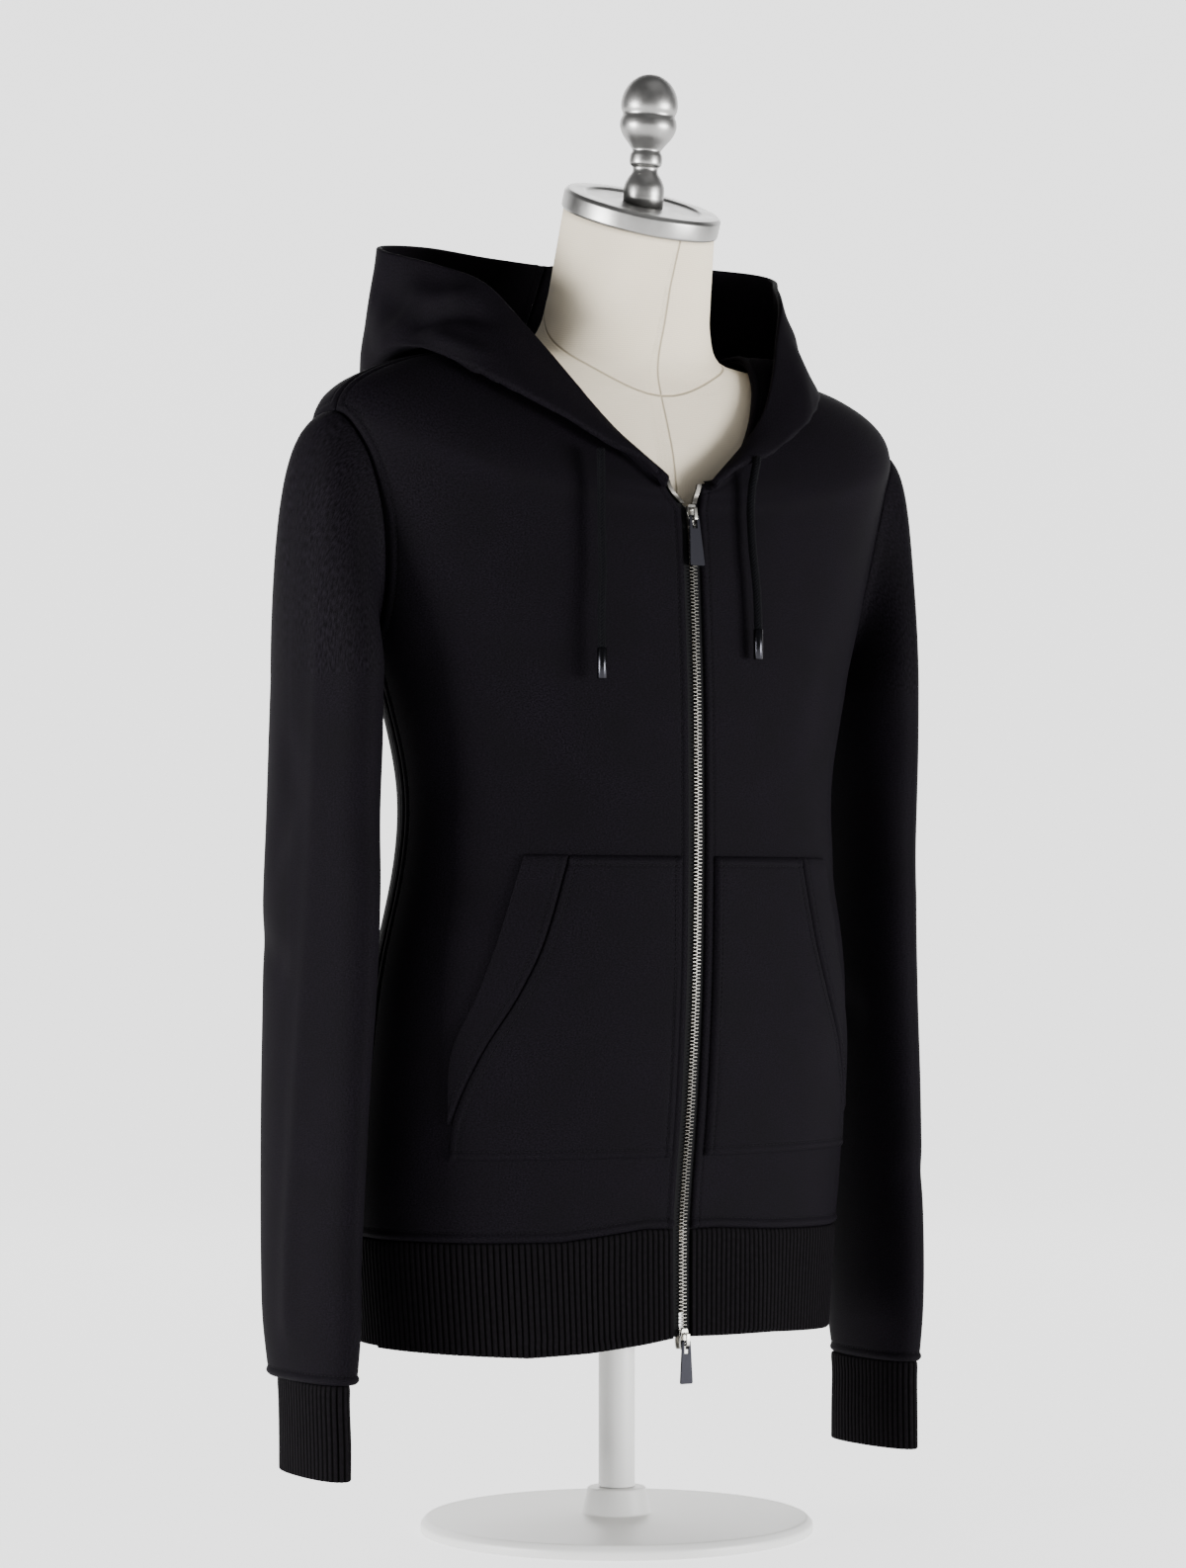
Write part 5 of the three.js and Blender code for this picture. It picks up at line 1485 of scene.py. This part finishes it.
# Radius and height in millimetres
KNOB_PROFILE = [(13.8, 4), (14, 8), (13.6, 12), (11.4, 17), (8.8, 21), (8.7, 24), (10.8, 26),
                (10.8, 33), (9.6, 35), (11.5, 38), (17, 45), (19.4, 51), (19, 56), (17.8, 59),
                (19.2, 63), (19.4, 68), (17.5, 75), (13.5, 81), (7, 85.5), (0, 87)]


def cast_aluminium(tree):
    """Cast aluminium, turned and polished: bright, with faint turning lines and a cloudy skin."""
    cloud = noise(tree, solid_place(tree), 90.0, 5.0)
    lines = noise(tree, solid_place(tree), 1400.0)
    return {"Base Color": blend(tree, cloud, "#8b8a87", "#a5a4a3"), "Metallic": 1.0,
            "Roughness": ranged(tree, cloud, after=(0.26, 0.46)),
            "Normal": bump(tree, lines, 0.00005, 0.25)}


def rounded_profile(points, radius):
    """A turned profile with its corners rounded, its two ends left on the axis."""
    points = np.array(points, float)
    drawn = [points[0]]
    for before, corner, after in zip(points, points[1:], points[2:]):
        ways = before - corner, after - corner
        reach = min(radius, *(np.linalg.norm(way) * 0.45 for way in ways))
        start, finish = (corner + unit(way) * reach for way in ways)
        drawn += bent_corner(start, corner, finish, 4)
    return [*drawn, points[-1]]


aluminium = new_material("polished_cast_aluminium", cast_aluminium)
rim, dish, cap_top = CAP["side"], CAP["recess"], CAP["height"]
cap_floor = cap_top - CAP["recess_depth"]
cap_profile = rounded_profile([
    (0, 0), (rim - 0.001, 0), (rim, 0.0015), (rim, cap_top - 0.002), (rim - 0.002, cap_top),
    (dish + 0.0015, cap_top), (dish, cap_floor), (0, cap_floor)], 0.0009)
cap = turned_piece("neck_cap", cap_profile, 128, aluminium)
cap.scale = (1, CAP["deep"] / CAP["side"], 1)
cap.rotation_euler = (slope, 0, 0)
up_slope = np.array([0, -math.sin(slope), math.cos(slope)])
neck_place = np.array([0, NECK_TOP["y"], NECK_TOP["z"] + HEM_HEIGHT])
cap.location = neck_place + up_slope * CAP["gap"]
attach(cap, "sweater_and_form")
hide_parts("form_neck_cap")

# The knob's foot leans with the cap and its profile stands up from there
knob_turns = full_turn(KNOB_SIDES)
circle = np.stack([np.cos(knob_turns), np.sin(knob_turns), 0 * knob_turns], -1)
foot = circle * (KNOB_PROFILE[0][0] / 1000)
foot[:, 2] = foot[:, 1] * math.tan(slope - KNOB_TILT)
knob_rings = [0 * foot, foot]
for radius, _, height in smooth_path([(r / 1000, 0, z / 1000) for r, z in KNOB_PROFILE], 0.0012):
    ring = circle * radius
    ring[:, 2] = np.maximum(height, foot[:, 2] + KNOB_STEP * len(knob_rings))
    knob_rings.append(ring)
knob = make_mesh("form_knob_turned", knob_rings,
                 grid_faces(len(knob_rings), KNOB_SIDES, closed=True), aluminium)
face_outwards(knob)
knob.modifiers.new("axis_weld", "WELD").merge_threshold = 1e-6
knob.rotation_euler = (KNOB_TILT, 0, 0)
knob.location = neck_place + up_slope * (cap_floor + 2 * CAP["gap"])
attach(knob, "sweater_and_form")
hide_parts("form_knob")

# ---------------------------------------------------------------------------------------------
# Stand: a plain steel pole into the form's underside and a round cast base, powder coated pale
# grey. The base's collar is turned in one piece with it.
# ---------------------------------------------------------------------------------------------
POLE = dict(radius=0.0125, low=0.0303, high=0.2017)
BASE = dict(radius=0.135, thick=0.010, collar=0.024, collar_top=0.030, edge=0.004)


def powder_coat(tree):
    """Pale grey powder coat: an even satin film with a fine orange-peel surface."""
    dust = noise(tree, solid_place(tree), 12.0, 4.0)
    peel = noise(tree, solid_place(tree), 420.0)
    return {"Base Color": blend(tree, dust, "#cfcfcd", "#d8d8d6"), "Roughness": 0.42,
            "Normal": bump(tree, peel, 0.00006, 0.3)}


coat = new_material("pale_powder_coat", powder_coat)
pole_profile = rounded_profile([(0, POLE["low"]), (POLE["radius"], POLE["low"]),
                                (POLE["radius"], POLE["high"]), (0, POLE["high"])], 0.0008)
pole = turned_piece("stand_tube", pole_profile, 64, coat)
radius, thick, collar, edge = BASE["radius"], BASE["thick"], BASE["collar"], BASE["edge"]
base_profile = rounded_profile([
    (0, 0), (radius, 0), (radius, thick - edge), (radius - edge, thick), (collar, thick + 0.002),
    (collar - edge, BASE["collar_top"]), (0, BASE["collar_top"])], 0.0014)
base = turned_piece("stand_foot", base_profile, 128, coat)
for piece, node in ((pole, "stand_pole"), (base, "stand_base")):
    face_outwards(piece)
    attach(piece, "sweater_and_form")
    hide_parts(node)

bpy.context.view_layer.update()
